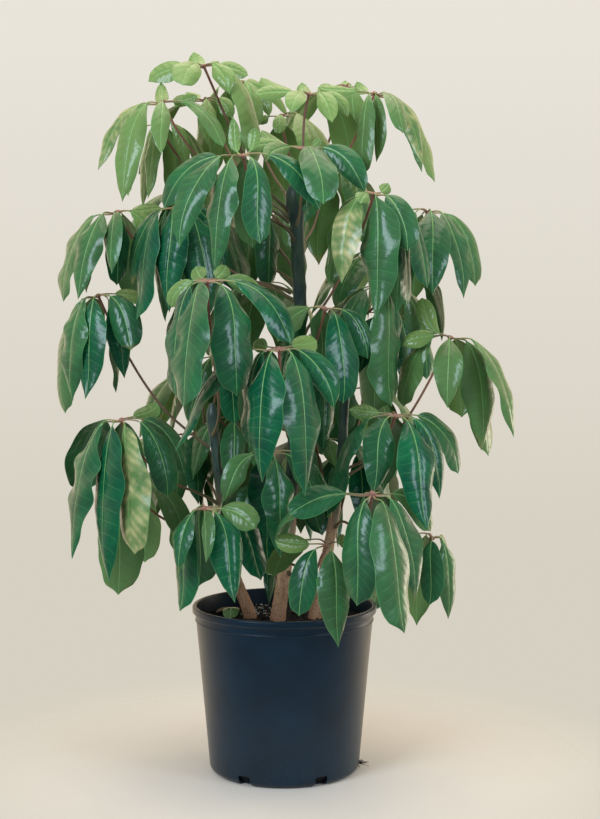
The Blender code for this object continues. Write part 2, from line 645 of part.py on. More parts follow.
def leaflet_rings(shape, grow=0.0):
    # Each ring: left edge, upper rib, right edge, lower rib.
    curve = shape["curve"]
    stalk = stalk_share(shape)
    rings = []
    for index, (along, half, thick) in enumerate(BLADE):
        share = stalk + (1 - stalk) * along
        centre = bezier(curve, share)
        direction = bezier_direction(curve, share)
        side = (shape["side"] - direction * shape["side"].dot(direction)).normalized()
        turn = Matrix.Rotation(shape["roll"] * (0.5 if index == 0 else 1.0), 3, direction)
        side = turn @ side
        normal = direction.cross(side)
        half_width = half * shape["width"] / 2 if index else LEAF_BASE_HALF_WIDTH * MM
        fold = BLADE_FOLD * half_width if index else 0.0
        wave = BLADE_WAVE * half_width * (1 if index else 0)
        left = wave * math.sin(shape["wave"] + 2.4 * index) - fold
        right = wave * math.sin(shape["wave"] * 1.7 + 2.9 * index + 1.0) - fold
        rings.append((centre + side * (half_width + grow) + normal * left,
                      centre + normal * (thick * MM + grow),
                      centre - side * (half_width + grow) + normal * right,
                      centre - normal * (thick * MM + grow)))
    return rings


def leaflet_trees(shape, grow):
    # The part free of the hub, and the whole leaflet with its stalk down to the hub.
    rings = leaflet_rings(shape, grow)
    hub = [point + shape["curve"][0] - bezier(shape["curve"], stalk_share(shape))
           for point in rings[0]]
    middle = [point.lerp(other, 0.5) for point, other in zip(hub, rings[0])]
    tip = shape["curve"][2]
    return tree_of([middle] + rings, tip), tree_of([hub] + rings, tip)


def place_leaflets(fronds, stem_trees, solids):
    moves = [(reach, turn, droop) for reach in (1.0, 0.92, 0.84, 0.76, 0.66, 0.55)
             for turn in (0, 7, -7, 14, -14, 22, -22, 30, -30) for droop in (0, 8, -8, 16, -16, 26, -26)]
    moves.sort(key=lambda move: (1 - move[0]) * 16 + abs(move[1]) / 7 + abs(move[2]) / 8)
    fixed = list(stem_trees.values()) + solids
    placed = []
    todo = [(frond, leaflet) for seen in (True, False) for frond in fronds
            for leaflet in frond["leaflets"] if bool(leaflet["width"]) == seen]
    for frond, leaflet in todo:
        own = [other for other in frond["leaflets"] if "shape" in other]
        rest = [tree for owner, tree in placed if owner is not frond]
        for reach, turn, droop in moves:
            shape = shape_leaflet(frond, leaflet, reach, math.radians(turn), math.radians(droop))
            free, whole = leaflet_trees(shape, CLEARANCE * MM)
            if any(meet(free, other["free"]) for other in own) or meet(free, frond["stalk_tree"]):
                continue
            if any(meet(whole, tree) for tree in fixed + rest) or any(
                    meet(whole, other["stalk_tree"]) for other in fronds if other is not frond):
                continue
            leaflet["shape"] = shape
            leaflet["free"], bare = leaflet_trees(shape, 0.0)
            placed.append((frond, bare))
            break


def hub_ring(frond, angle, radius, rise):
    spoke = frond["side"] * math.cos(angle) + frond["front"] * math.sin(angle)
    return frond["hub"] + (spoke * radius + frond["axis"] * rise) * MM


def split_band(low, high):
    # Cuts the four sides of a blade section alike above and below the rib.
    for rib in (1, 3):
        for edge in (0, 2):
            for face in list(low[rib].link_faces):
                if high[edge] in face.verts and len(face.verts) == 4:
                    bmesh.utils.face_split(face, low[rib], high[edge])


def make_frond(frond):
    bm = bmesh.new()
    leaflets = frond["leaflets"]
    count = len(leaflets)
    angles = [leaflet["angle"] for leaflet in leaflets]
    halfway = [(angle + following) / 2 for angle, following in
               zip(angles, angles[1:] + [angles[0] + math.tau])]
    crown = bm.verts.new(hub_ring(frond, 0, 0, HUB_HALF_HEIGHT * 1.5))
    upper = [bm.verts.new(hub_ring(frond, angle, HUB_RADIUS, HUB_HALF_HEIGHT)) for angle in angles]
    lower = [bm.verts.new(hub_ring(frond, angle, HUB_RADIUS, -HUB_HALF_HEIGHT)) for angle in angles]
    waist = [bm.verts.new(hub_ring(frond, angle, HUB_RADIUS * 0.86, 0)) for angle in halfway]
    rings = stalk_rings(frond["route"], count, angles, (frond["axis"], frond["side"], frond["front"]))
    neck = [bm.verts.new(point) for point in rings[0]]
    for index in range(count):
        after = (index + 1) % count
        bm.faces.new((crown, upper[index], waist[index]))
        bm.faces.new((crown, waist[index], upper[after]))
        bm.faces.new((lower[index], neck[index], waist[index]))
        bm.faces.new((neck[index], neck[after], waist[index]))
        bm.faces.new((neck[after], lower[after], waist[index]))
    face = bm.faces.new(reversed(neck))
    for ring in rings[1:]:
        face = raise_ring(bm, face, reversed(ring))
    for index, leaflet in enumerate(leaflets):
        socket = bm.faces.new((waist[index], upper[index], waist[index - 1], lower[index]))
        if "shape" in leaflet:
            grow_leaflet(bm, socket, leaflet["shape"])
    bmesh.ops.recalc_face_normals(bm, faces=bm.faces)
    if bm.calc_volume(signed=True) < 0:
        bmesh.ops.reverse_faces(bm, faces=bm.faces)
    return add_object(frond["name"], bm, "frond")


def grow_leaflet(bm, socket, shape):
    for ring in leaflet_rings(shape):
        low = list(socket.verts)
        socket = raise_ring(bm, socket, ring)
        split_band(low, list(socket.verts))
    bmesh.ops.poke(bm, faces=[socket])["verts"][0].co = shape["curve"][2]


def plan_all_fronds():
    fronds = []
    for index, (name, (stem, height, hub, count, leaflets)) in enumerate(FRONDS.items()):
        fronds.append(plan_frond(name, stem, height, hub, count, leaflets, random.Random(100 + index)))
    for index, (name, (stem, height, hub, count)) in enumerate(REAR_FRONDS.items()):
        fronds.append(plan_frond(name, stem, height, hub, count, (), random.Random(300 + index)))
    return fronds


def main():
    remove_everything()
    pot = make_pot()
    soil = make_soil(random.Random(7))
    stem_trees = {name: object_tree(make_stem(name)) for name in STEMS}
    soil_tree = object_tree(soil)
    make_drain_roots(soil_tree, random.Random(11))
    solids = [object_tree(pot), soil_tree]
    solids += [object_tree(make_fallen_leaf(name, soil_tree)) for name in FALLEN_LEAVES]
    fronds = plan_all_fronds()
    stalk_trees = []
    for frond in fronds:
        place_stalk(frond, stem_trees, solids, stalk_trees)
    place_leaflets(fronds, stem_trees, solids)
    for frond in fronds:
        make_frond(frond)


main()
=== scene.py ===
import itertools
import math
import random
from functools import partial

import bmesh
import bpy
import numpy as np
from mathutils import Matrix, Vector, noise
from mathutils.bvhtree import BVHTree


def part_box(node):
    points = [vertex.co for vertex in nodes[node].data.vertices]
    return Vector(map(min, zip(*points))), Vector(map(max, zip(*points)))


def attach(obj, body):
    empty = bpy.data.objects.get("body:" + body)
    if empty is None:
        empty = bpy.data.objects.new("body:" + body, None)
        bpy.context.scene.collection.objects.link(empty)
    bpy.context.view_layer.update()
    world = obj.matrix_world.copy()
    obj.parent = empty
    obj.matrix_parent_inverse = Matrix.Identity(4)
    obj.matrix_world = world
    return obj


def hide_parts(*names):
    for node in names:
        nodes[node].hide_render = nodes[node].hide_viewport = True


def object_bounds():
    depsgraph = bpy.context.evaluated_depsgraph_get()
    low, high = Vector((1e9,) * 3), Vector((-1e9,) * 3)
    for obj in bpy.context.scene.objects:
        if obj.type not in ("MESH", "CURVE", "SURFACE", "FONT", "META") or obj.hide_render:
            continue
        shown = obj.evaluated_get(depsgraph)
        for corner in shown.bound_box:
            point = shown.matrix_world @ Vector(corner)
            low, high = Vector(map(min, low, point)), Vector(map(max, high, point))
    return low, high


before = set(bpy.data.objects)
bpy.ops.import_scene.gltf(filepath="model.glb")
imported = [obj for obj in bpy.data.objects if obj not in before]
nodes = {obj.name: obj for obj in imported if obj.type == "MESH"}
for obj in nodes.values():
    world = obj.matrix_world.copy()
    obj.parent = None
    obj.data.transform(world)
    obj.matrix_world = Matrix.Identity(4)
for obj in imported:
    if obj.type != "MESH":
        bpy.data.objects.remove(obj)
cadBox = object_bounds()
mm = 0.001
weldDistance = 0.00001
frondNodes = sorted(name for name in nodes if name.startswith("frond_"))
stemNodes = sorted(name for name in nodes if name.startswith("stem_"))


# Tools for shaping


def deselectAll():
    if bpy.context.mode != "OBJECT":
        bpy.ops.object.mode_set(mode="OBJECT")
    bpy.ops.object.select_all(action="DESELECT")


def pick(piece):
    deselectAll()
    piece.select_set(True)
    bpy.context.view_layer.objects.active = piece


def newest(name):
    piece = bpy.context.object
    piece.name = name
    piece.data.name = name
    return piece


def editMode(piece):
    pick(piece)
    bpy.ops.object.mode_set(mode="EDIT")


def objectMode():
    bpy.ops.object.mode_set(mode="OBJECT")


def selectWhere(piece, kind, test):
    # kind is verts, edges or faces of the mesh in edit mode; everything else is let go
    shell = bmesh.from_edit_mesh(piece.data)
    bpy.ops.mesh.select_all(action="DESELECT")
    for part in getattr(shell, kind):
        if test(part):
            part.select_set(True)
    shell.select_flush_mode()
    bmesh.update_edit_mesh(piece.data)


def drawOut(path):
    # Extrudes the selected ring about Z through points (radius, height), the first being where it is
    for (radius, height), (nextRadius, nextHeight) in zip(path, path[1:]):
        bpy.ops.mesh.extrude_region_move(TRANSFORM_OT_translate={"value": (0, 0, nextHeight - height)})
        bpy.ops.transform.resize(value=(nextRadius / radius, nextRadius / radius, 1))


def turnOutwards():
    bpy.ops.mesh.select_all(action="SELECT")
    bpy.ops.mesh.normals_make_consistent(inside=False)
    objectMode()


def applyModifier(piece, kind, **settings):
    pick(piece)
    modifier = piece.modifiers.new(kind.lower(), kind)
    for name, value in settings.items():
        setattr(modifier, name, value)
    bpy.ops.object.modifier_apply(modifier=modifier.name)


def settle(piece):
    pick(piece)
    bpy.ops.object.transform_apply(location=True, rotation=True, scale=True)


def model(operator, name, **settings):
    # A new piece from one of Blender's own shapes
    deselectAll()
    operator(**settings)
    piece = newest(name)
    settle(piece)
    return piece


def discard(*pieces):
    for piece in pieces:
        bpy.data.objects.remove(piece)


def joinAll(pieces, name):
    deselectAll()
    for piece in pieces:
        piece.select_set(True)
    bpy.context.view_layer.objects.active = pieces[0]
    if len(pieces) > 1:
        bpy.ops.object.join()
    return newest(name)


def points(piece):
    place = np.empty(len(piece.data.vertices) * 3)
    piece.data.vertices.foreach_get("co", place)
    return place.reshape(-1, 3)


def setPoints(piece, place):
    piece.data.vertices.foreach_set("co", np.ascontiguousarray(place, dtype=float).ravel())
    piece.data.update()


def readAttribute(piece, name):
    values = np.empty(len(piece.data.vertices) * 3)
    piece.data.attributes[name].data.foreach_get("vector", values)
    return values.reshape(-1, 3)


def writeAttribute(piece, name, *columns):
    layers = piece.data.attributes
    attribute = layers.get(name) or layers.new(name, "FLOAT_VECTOR", "POINT")
    count = len(piece.data.vertices)
    values = np.column_stack([np.broadcast_to(column, count) for column in columns]).astype(np.float32)
    attribute.data.foreach_set("vector", values.ravel())


def addObject(name, data):
    piece = bpy.data.objects.new(name, data)
    bpy.context.scene.collection.objects.link(piece)
    return piece


def copyOf(blank, name):
    return addObject(name, blank.data.copy())


def unit(vectors):
    return vectors / np.linalg.norm(vectors, axis=-1, keepdims=True)


def finish(piece, slot, *replaced, degrees=50):
    # Edges sharper than the given angle stay sharp; with none given, every face stays flat
    if degrees:
        pick(piece)
        bpy.ops.object.shade_smooth_by_angle(angle=math.radians(degrees))
    low, high = (np.array(corner) for corner in cadBox)
    setPoints(piece, np.clip(points(piece), low, high))  # no point outside the CAD model's box
    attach(piece, "root")
    if replaced:
        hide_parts(*replaced)


# Tools for materials


def linear(hexColour):
    parts = [int(hexColour[start:start + 2], 16) / 255 for start in (1, 3, 5)]
    return tuple(part / 12.92 if part <= 0.04045 else ((part + 0.055) / 1.055) ** 2.4
                 for part in parts) + (1.0,)


def wire(source, socket):
    # source is a node (its first output in use), one of its outputs, a hex colour or a plain value
    if isinstance(source, bpy.types.Node):
        source = next(output for output in source.outputs if output.enabled)
    if isinstance(source, bpy.types.NodeSocket):
        socket.id_data.links.new(source, socket)
    else:
        socket.default_value = linear(source) if isinstance(source, str) else source


def wireAll(node, inputs):
    for name, source in inputs.items():
        wire(source, node.inputs[name])


def addNode(tree, kind, inputs, **settings):
    node = tree.nodes.new("ShaderNode" + kind)
    for name, value in settings.items():
        setattr(node, name, value)
    wireAll(node, inputs)
    return node


def newMaterial(name, inputs):
    material = bpy.data.materials.new(name)
    material.use_nodes = True
    add = partial(addNode, material.node_tree)
    shader = material.node_tree.nodes["Principled BSDF"]
    wireAll(shader, inputs)
    place = add("TexCoord", {}).outputs["Object"]
    return material, add, shader, place


def cloudyMaterial(name, inputs, size, detail, span, colours, roughness=0.5, relief=None):
    # Two colours in patches of one size, the cloud pattern turning from one to the other within the span;
    # relief is how strongly and how high the pattern stands out
    material, add, shader, place = newMaterial(name, inputs)
    cloud = add("TexNoise", {"Vector": place, "Scale": 1 / size, "Detail": detail,
                             "Roughness": roughness})
    tone = add("MapRange", {0: cloud, 1: span[0], 2: span[1]})
    colour = add("Mix", {0: tone, 6: colours[0], 7: colours[1]}, data_type="RGBA")
    wire(colour, shader.inputs["Base Color"])
    if relief:
        bump = add("Bump", {"Strength": relief[0], "Distance": relief[1], "Height": cloud})
        wire(bump, shader.inputs["Normal"])
    return material, add, shader, place, cloud, colour


def layColours(add, colour, layers):
    # Each layer says where it lies, how strongly, and with which colour
    for share, strength, tint in layers:
        share = add("Math", {0: share, 1: strength}, operation="MULTIPLY")
        colour = add("Mix", {0: share, 6: colour, 7: tint}, data_type="RGBA")
    return colour


# Camera, lights, room and floor

studio = {
    "cameraPlace": (0.0223, -2.2, 0.6615),
    "cameraTiltDown": 3.74,
    "lens": 68.0,
    "sensorWidth": 36,
    "wallLow": "#d6d0c2",
    "wallHigh": "#e9e4da",
    "wallFade": (-0.16, 0.17),  # how far up the eye looks, from the low to the high colour
    "roomFront": ("#d8e4f0", 0.80, 0.22),
    "roomBack": ("#f0dcbe", 0.90, 1.25),  # colour, what it lights with, how bright it is when mirrored
    "roomFade": (-0.4, 0.7),
    "floor": ("#e9dfd0", "#e2d8c9"),
    "floorFade": (0.16, 0.62),
    "windowColour": "#dcebff",
    "lampColour": "#fff1dd",
    "lampsAimAt": (0, 0, 0.6),
}


def areaLight(name, place, size, energy, colour):
    light = bpy.data.lights.new(name, "AREA")
    light.shape = "RECTANGLE"
    light.size, light.size_y = size
    light.energy = energy
    light.color = linear(studio[colour])[:3]
    lamp = addObject(name, light)
    lamp.visible_camera = False
    lamp.location = place
    aim = Vector(studio["lampsAimAt"]) - Vector(place)
    lamp.rotation_euler = aim.to_track_quat("-Z", "Y").to_euler()


def setCamera():
    camera = bpy.data.cameras.new("camera")
    camera.lens = studio["lens"]
    camera.sensor_width = studio["sensorWidth"]
    holder = addObject("camera", camera)
    holder.location = studio["cameraPlace"]
    holder.rotation_euler = (math.radians(90 - studio["cameraTiltDown"]), 0, 0)
    bpy.context.scene.camera = holder


def setLights():
    areaLight("windowLight", (-1.5, -1.9, 1.9), (1.0, 1.3), 44, "windowColour")
    areaLight("softboxRight", (2.0, -1.5, 1.5), (0.7, 1.2), 22, "windowColour")
    areaLight("ceilingBounce", (0.1, 0.2, 2.5), (2.0, 2.0), 24, "lampColour")
    areaLight("lowFlankGlow", (0.95, 0.5, 0.30), (0.3, 0.6), 2.0, "lampColour")
    bpy.context.scene.view_settings.view_transform = "Standard"


def setRoom():
    # The eye sees a pale wall; what lights the plant is a cool front and a warm, brighter back
    world = bpy.data.worlds.new("paleRoom")
    bpy.context.scene.world = world
    world.use_nodes = True
    add = partial(addNode, world.node_tree)
    direction = add("TexCoord", {}).outputs["Generated"]
    axes = add("SeparateXYZ", {0: direction}).outputs
    rise = add("MapRange", {0: axes["Z"], 1: studio["wallFade"][0], 2: studio["wallFade"][1]})
    wall = add("Mix", {0: rise, 6: studio["wallLow"], 7: studio["wallHigh"]}, data_type="RGBA")
    seen = add("Background", {"Color": wall})
    back = add("MapRange", {0: axes["Y"], 1: studio["roomFade"][0], 2: studio["roomFade"][1]})
    ray = add("LightPath", {}).outputs
    halves = []
    for name in ("roomFront", "roomBack"):
        colour, lit, mirrored = studio[name]
        strength = add("MapRange", {0: ray["Is Glossy Ray"], 3: lit, 4: mirrored})
        halves.append(add("Background", {"Color": colour, "Strength": strength}))
    ambient = add("MixShader", {0: back, 1: halves[0], 2: halves[1]})
    room = add("MixShader", {0: ray["Is Camera Ray"], 1: ambient, 2: seen})
    wire(room, world.node_tree.nodes["World Output"].inputs["Surface"])


def floorPaint():
    # matt painted board, melting into the wall further off so that no horizon shows
    material, add, shader, place, _, _ = cloudyMaterial(
        "mattPaintedBoard", {"Roughness": 0.7, "Specular IOR Level": 0.2}, 350 * mm, 3, (0.3, 0.7),
        studio["floor"])
    distance = add("VectorMath", {0: place}, operation="LENGTH").outputs["Value"]
    near, far = studio["floorFade"]
    fade = add("MapRange", {0: distance, 1: near, 2: far}, interpolation_type="SMOOTHSTEP")
    clear = add("BsdfTransparent", {})
    mix = add("MixShader", {0: fade, 1: shader, 2: clear})
    wire(mix, material.node_tree.nodes["Material Output"].inputs["Surface"])
    return material


def setFloor():
    floor = model(bpy.ops.mesh.primitive_circle_add, "studioFloor", vertices=96, fill_type="TRIFAN",
                  radius=studio["floorFade"][1], location=(0, 0, -0.5 * mm))
    floor.data.materials.append(floorPaint())


# Reading the frame: where each leaflet, stalk and hub stands

bladeStations = (0.0, 0.18, 0.50, 0.82)  # shares of a blade's length where the frame has its sections
topEdges = 6  # at most so many edges meet where a leaflet's rib leaves the hub
hubReach = 9 * mm  # the hub's other points are nearer than this to its crown
hubRise = 7 * mm  # from the first ring of the stalk up to the middle of the hub
loneReach = 6 * mm  # the tip of a loose leaf is further than this from every point next to it


def weldedShell(nodeName):
    shell = bmesh.new()
    shell.from_mesh(nodes[nodeName].data)
    bmesh.ops.remove_doubles(shell, verts=shell.verts, dist=weldDistance)
    shell.verts.index_update()
    return shell


def inOrder(verts):
    return sorted(verts, key=lambda vert: vert.index)


def neighbours(shell):
    return {vert: {edge.other_vert(vert) for edge in vert.link_edges} for vert in shell.verts}


def walkLeaflet(near, root, rootNear):
    # From the hub outwards: each ring is left edge, upper rib, right edge, lower rib
    rings = []
    rib, under, left = root, None, None
    known = set(rootNear) | {root}
    while True:
        fresh = near[rib] - known
        if len(fresh) == 1:
            return rings, fresh.pop()
        if len(fresh) != 3:
            return [], None
        nextRib = next(vert for vert in fresh if len(near[vert] & fresh) == 2)
        sides = inOrder(fresh - {nextRib})
        if left is not None and sides[0] not in near[left]:
            sides.reverse()
        shared = near[sides[0]] & near[sides[1]] - {nextRib, rib}
        if under is None:
            shared = {vert for vert in shared if not set(rootNear) & near[vert]}
        else:
            shared -= {under}
        nextUnder = inOrder(shared)[0]
        rings.append((sides[0], nextRib, sides[1], nextUnder))
        known = {sides[0], sides[1], rib}
        rib, under, left = nextRib, nextUnder, sides[0]


def leafletFrom(rings, tip, socket):
    # Curves through the frame's sections: the rib, and the directions of both edges from it
    place = np.array([[vert.co for vert in ring] for ring in rings])
    left, upper, right, lower = place.swapaxes(0, 1)
    centre = (upper + lower) / 2
    tipPlace = np.array(tip.co)
    rib = np.polyfit(bladeStations + (1.0,), np.vstack([centre, tipPlace]), 2)
    along = rib[0] + rib[1]
    if np.dot(np.cross(along, left[2] - right[2]), upper[2] - lower[2]) < 0:
        left, right = right, left
    edges = [np.polyfit(bladeStations[1:], unit(edge[1:] - centre[1:]), 1) for edge in (left, right)]
    halfWidth = max(np.linalg.norm(edge - centre, axis=1).max() for edge in (left, right))
    length = np.linalg.norm(tipPlace - centre[0])
    return {"rib": rib, "left": edges[0], "right": edges[1], "halfWidth": halfWidth, "length": length,
            "socket": socket}


def curveAt(fit, share):
    share = np.asarray(share)[..., None]
    result = np.zeros(share.shape[:-1] + (3,))
    for term in fit:
        result = result * share + term
    return result


def slopeAt(fit, share):
    terms = [term * (len(fit) - 1 - index) for index, term in enumerate(fit[:-1])]
    return curveAt(terms, share)


def circleCentre(ring):
    middle = ring.mean(axis=0)
    offset = ring - middle
    matrix = np.column_stack([2 * offset, np.ones(len(ring))])
    answer = np.linalg.lstsq(matrix, (offset ** 2).sum(axis=1), rcond=None)[0]
    return middle + answer[:3]


def readFrond(nodeName):
    shell = weldedShell(nodeName)
    near = neighbours(shell)
    crown = max(near, key=lambda vert: len(near[vert]))
    tops = {vert for vert in near[crown] if len(near[vert]) <= topEdges}
    waists = near[crown] - tops
    leaflets = []
    used = {crown} | near[crown]
    for top in inOrder(tops):
        ownWaists = near[top] & waists
        rings, tip = walkLeaflet(near, top, {crown} | ownWaists)
        if tip is None or len(rings) < len(bladeStations):
            continue
        socket = sum((vert.co for vert in inOrder(ownWaists)), Vector()) / len(ownWaists)
        leaflets.append(leafletFrom(rings, tip, np.array(socket)))
        used |= {tip} | {vert for ring in rings for vert in ring}
    level = {vert for waist in waists for vert in near[waist]
             if vert not in used and (vert.co - crown.co).length < hubReach}
    used |= level
    level = {vert for waist in waists | level for vert in near[waist]} - used
    centres = []
    while level:
        centres.append(circleCentre(np.array([vert.co for vert in inOrder(level)])))
        used |= level
        level = {other for vert in level for other in near[vert]} - used
    axis = unit(np.array(crown.co) - centres[0])
    stalk = np.polyfit(np.linspace(0, 1, len(centres)), np.array(centres), len(centres) - 1)
    shell.free()
    return {"leaflets": leaflets, "hub": centres[0] + axis * hubRise, "axis": axis, "stalk": stalk}


def readLooseLeaf(nodeName):
    # A leaflet with no hub: its sections are met one after another, going back from the tip
    shell = weldedShell(nodeName)
    near = neighbours(shell)

    def apart(one, other):
        return (one.co - other.co).length

    middle = sum((vert.co for vert in near), Vector()) / len(near)
    lone = [vert for vert in near if all(apart(vert, other) > loneReach for other in near[vert])]
    tip = max(lone, key=lambda vert: (vert.co - middle).length)
    rings, level, known = [], near[tip], {tip}
    while len(rings) < len(bladeStations):
        edges = max(itertools.combinations(inOrder(level), 2), key=lambda pair: apart(*pair))
        if rings and apart(edges[0], rings[-1][0]) > apart(edges[1], rings[-1][0]):
            edges = edges[::-1]
        ribs = sorted(level - set(edges), key=lambda vert: -vert.co.z)
        rings.append((edges[0], ribs[0], edges[1], ribs[1]))
        known |= level
        level = {other for vert in level for other in near[vert]} - known
    leaf = leafletFrom(rings[::-1], tip, None)
    shell.free()
    return leaf


# Leaflet

leafletShape = {
    "columns": 10,
    "rows": 48,
    "bareFoot": 0.05,
    "footWidth": 0.02,
    "tipWidth": 0.004,
    "grownLength": 0.15,
    "thickness": 0.45 * mm,
    "veinSpacing": 12.5 * mm,
    "veinLean": 1.6,
    "quilt": 0.20 * mm,
    "cup": 0.08,
    "wave": 0.10,
    "bow": 0.22,
    "marginRipple": 0.025,
    "tipCurl": 0.30,
    "sway": 0.02,
    "ribWidth": 1.1 * mm,
    "ribGroove": 0.35 * mm,
    "ribRidge": 0.8 * mm,
}


def bladeOutline(along):
    # Half width of an umbrella tree leaflet: wedge foot, full middle, short drip tip
    along = np.clip(along, 0.0, 1.0)
    full = along ** 0.64 * (1 - along) ** 0.52 / 0.4508
    late = np.clip((along - 0.91) / 0.08, 0, 1)
    return full * (1 - 0.68 * late * late * (3 - 2 * late))


def modelLeafletBlank():
    # One flat leaflet, two units wide and one long; all the others are bent from copies of it
    columns, rows = leafletShape["columns"], leafletShape["rows"]
    deselectAll()
    bpy.ops.mesh.primitive_grid_add(x_subdivisions=columns, y_subdivisions=rows, size=2,
                                    location=(0, 0.5, 0))
    blank = newest("leafletBlank")
    bpy.ops.transform.resize(value=(1, 0.5, 1))
    settle(blank)
    editMode(blank)
    half = columns // 2
    for step in range(1, half):
        level = step / half
        selectWhere(blank, "verts", lambda vert: abs(abs(vert.co.x) - level) < 0.01)
        bpy.ops.transform.resize(value=(level ** 0.35, 1, 1))  # columns crowd towards the rib
    objectMode()
    flat = points(blank)
    writeAttribute(blank, "blankShare", flat[:, 0], flat[:, 1], 0)
    editMode(blank)
    for step in range(rows + 1):
        level = step / rows
        least = leafletShape["footWidth" if step < rows else "tipWidth"]
        width = max(float(bladeOutline(level)), least)
        selectWhere(blank, "verts", lambda vert: abs(vert.co.y - level) < 0.3 / rows)
        bpy.ops.transform.resize(value=(width, 1, 1))
    objectMode()
    applyModifier(blank, "SOLIDIFY", thickness=0.01, offset=-1, use_even_offset=False, material_offset=1)
    return blank


def bendLeaflet(blank, leaf, look, rng):
    piece, shape = copyOf(blank, "leaflet"), leafletShape
    side, along = readAttribute(blank, "blankShare")[:, :2].T
    upper = points(blank)[:, 2] > -0.005
    edge = np.abs(side)
    halfWidth, length = leaf["halfWidth"], leaf["length"]
    size = np.clip(length / shape["grownLength"], 0.4, 1.0)

    def perHalf(low, high):
        return np.where(side > 0, rng.uniform(low, high), rng.uniform(low, high))

    def waves(fewest, most):
        phases = perHalf(0, 6)
        return np.sin(math.tau * rng.uniform(fewest, most) * size * along + phases)

    blade = np.clip((along - shape["bareFoot"]) / (1 - shape["bareFoot"]), 0, 1)
    outline = bladeOutline(blade ** rng.uniform(0.92, 1.12))
    outline = outline * (1 - shape["marginRipple"] * size * (1 + waves(3.0, 5.0)))
    outline = np.maximum(outline, np.where(along < 0.5, shape["footWidth"], shape["tipWidth"]))
    across = edge * outline * halfWidth
    steps = np.linspace(0, 1, 41)
    lengths = np.linalg.norm(np.diff(curveAt(leaf["rib"], steps), axis=0), axis=1).cumsum()
    onRib = np.interp(along, np.append(0, lengths) / lengths[-1], steps)  # even steps along the rib
    forward = unit(slopeAt(leaf["rib"], onRib))
    rightEdge, leftEdge = (unit(curveAt(leaf[key], onRib)) for key in ("right", "left"))
    outwards = np.where((side >= 0)[:, None], rightEdge, leftEdge)
    spread = unit(leftEdge - rightEdge)
    up = unit(np.cross(forward, spread))
    body = np.sin(np.pi * np.clip(along, 0, 1)) ** 0.6
    bulge = 4 * edge * (1 - edge) * body
    count = np.clip(length / shape["veinSpacing"], 6, 13)
    vein = count * along - shape["veinLean"] * edge + 0.35 * side * edge
    vein += 0.12 * np.sin(7 * along + rng.uniform(0, 6)) * edge
    swing = waves(1.6, 3.2)
    lift = shape["cup"] * rng.uniform(0.5, 1.5) * bulge
    lift += shape["wave"] * rng.uniform(0.4, 1.4) * size * edge ** 2 * body * swing
    lift += shape["bow"] * perHalf(-0.9, 0.4) * edge ** 2 * outline
    lift += shape["tipCurl"] * rng.uniform(-1, 0.8) * np.clip((along - 0.7) / 0.3, 0, 1) ** 2
    lift = lift * halfWidth - shape["quilt"] * np.cos(math.tau * vein) * bulge
    rib = np.exp(-(across / shape["ribWidth"]) ** 2)
    thickness = shape["thickness"] * (1.1 - 0.6 * edge)
    lift += np.where(upper, thickness / 2 - shape["ribGroove"] * rib,
                     -thickness / 2 - shape["ribRidge"] * (1 - 0.75 * along) * rib)
    most = shape["sway"]
    sway = length * rng.uniform(-most, most) * np.sin(math.tau * along)
    setPoints(piece, curveAt(leaf["rib"], onRib) + outwards * across[:, None] + up * lift[:, None]
              + spread * sway[:, None])
    margin = outline * halfWidth - across
    writeAttribute(piece, "leafPlace", across * np.sign(side), along * length, margin)
    writeAttribute(piece, "leafLook", look["young"], look["gold"], look["seed"])
    writeAttribute(piece, "leafShare", along, vein, edge)
    piece.data.attributes.remove(piece.data.attributes["blankShare"])
    return piece


# Stalks and hub

stalkShape = {
    "sides": 10,
    "cuts": 22,
    "radius": 1.6 * mm,
    "hubRadius": 2.0 * mm,
    "clasp": 2.9 * mm,
    "rise": 16 * mm,
    "leafletSides": 7,
    "leafletCuts": 6,
    "leafletRadius": 0.95 * mm,
    "inHub": 2.5 * mm,
    "hubSize": (4.4 * mm, 4.4 * mm, 3.2 * mm),
}


def modelTubeBlank(name, sides, cuts):
    # A unit rod from 0 to 1 along Z, cut into rings
    blank = model(bpy.ops.mesh.primitive_cylinder_add, name, vertices=sides, radius=1, depth=1,
                  location=(0, 0, 0.5))
    editMode(blank)
    bpy.ops.mesh.select_mode(type="EDGE")
    selectWhere(blank, "edges", lambda edge: abs(edge.verts[0].co.z - edge.verts[1].co.z) > 0.5)
    bpy.ops.mesh.subdivide(number_cuts=cuts)
    bpy.ops.mesh.select_mode(type="VERT")
    objectMode()
    return blank


def carriedFrames(forward, start):
    # Side and front vectors carried along the path without twist
    sides = [start - forward[0] * np.dot(start, forward[0])]
    for direction in forward[1:]:
        sides.append(sides[-1] - direction * np.dot(sides[-1], direction))
    sides = unit(np.array(sides))
    return sides, np.cross(forward, sides)


def bendTube(blank, name, path, radii, seed=0.0):
    # path and radii run along the tube; the blank's height picks the place between them
    piece = copyOf(blank, name)
    flat = points(blank)
    height = flat[:, 2]
    steps = np.linspace(0, 1, len(path))
    forward = unit(np.gradient(path, axis=0))
    sides, fronts = carriedFrames(forward, np.cross(forward[0], (0.3, 0.9, 0.1)))

    def along(values):
        return np.column_stack([np.interp(height, steps, column) for column in np.atleast_2d(values.T)])

    aside = unit(along(sides)) * flat[:, :1] + unit(along(fronts)) * flat[:, 1:2]
    setPoints(piece, along(path) + along(radii) * aside)
    writeAttribute(piece, "stalkPlace", height, 0, seed)
    return piece


def hermite(start, startSlope, end, endSlope, share):
    square, cube = share ** 2, share ** 3
    return (start * (2 * cube - 3 * square + 1) + startSlope * (cube - 2 * square + share)
            + end * (3 * square - 2 * cube) + endSlope * (cube - square))


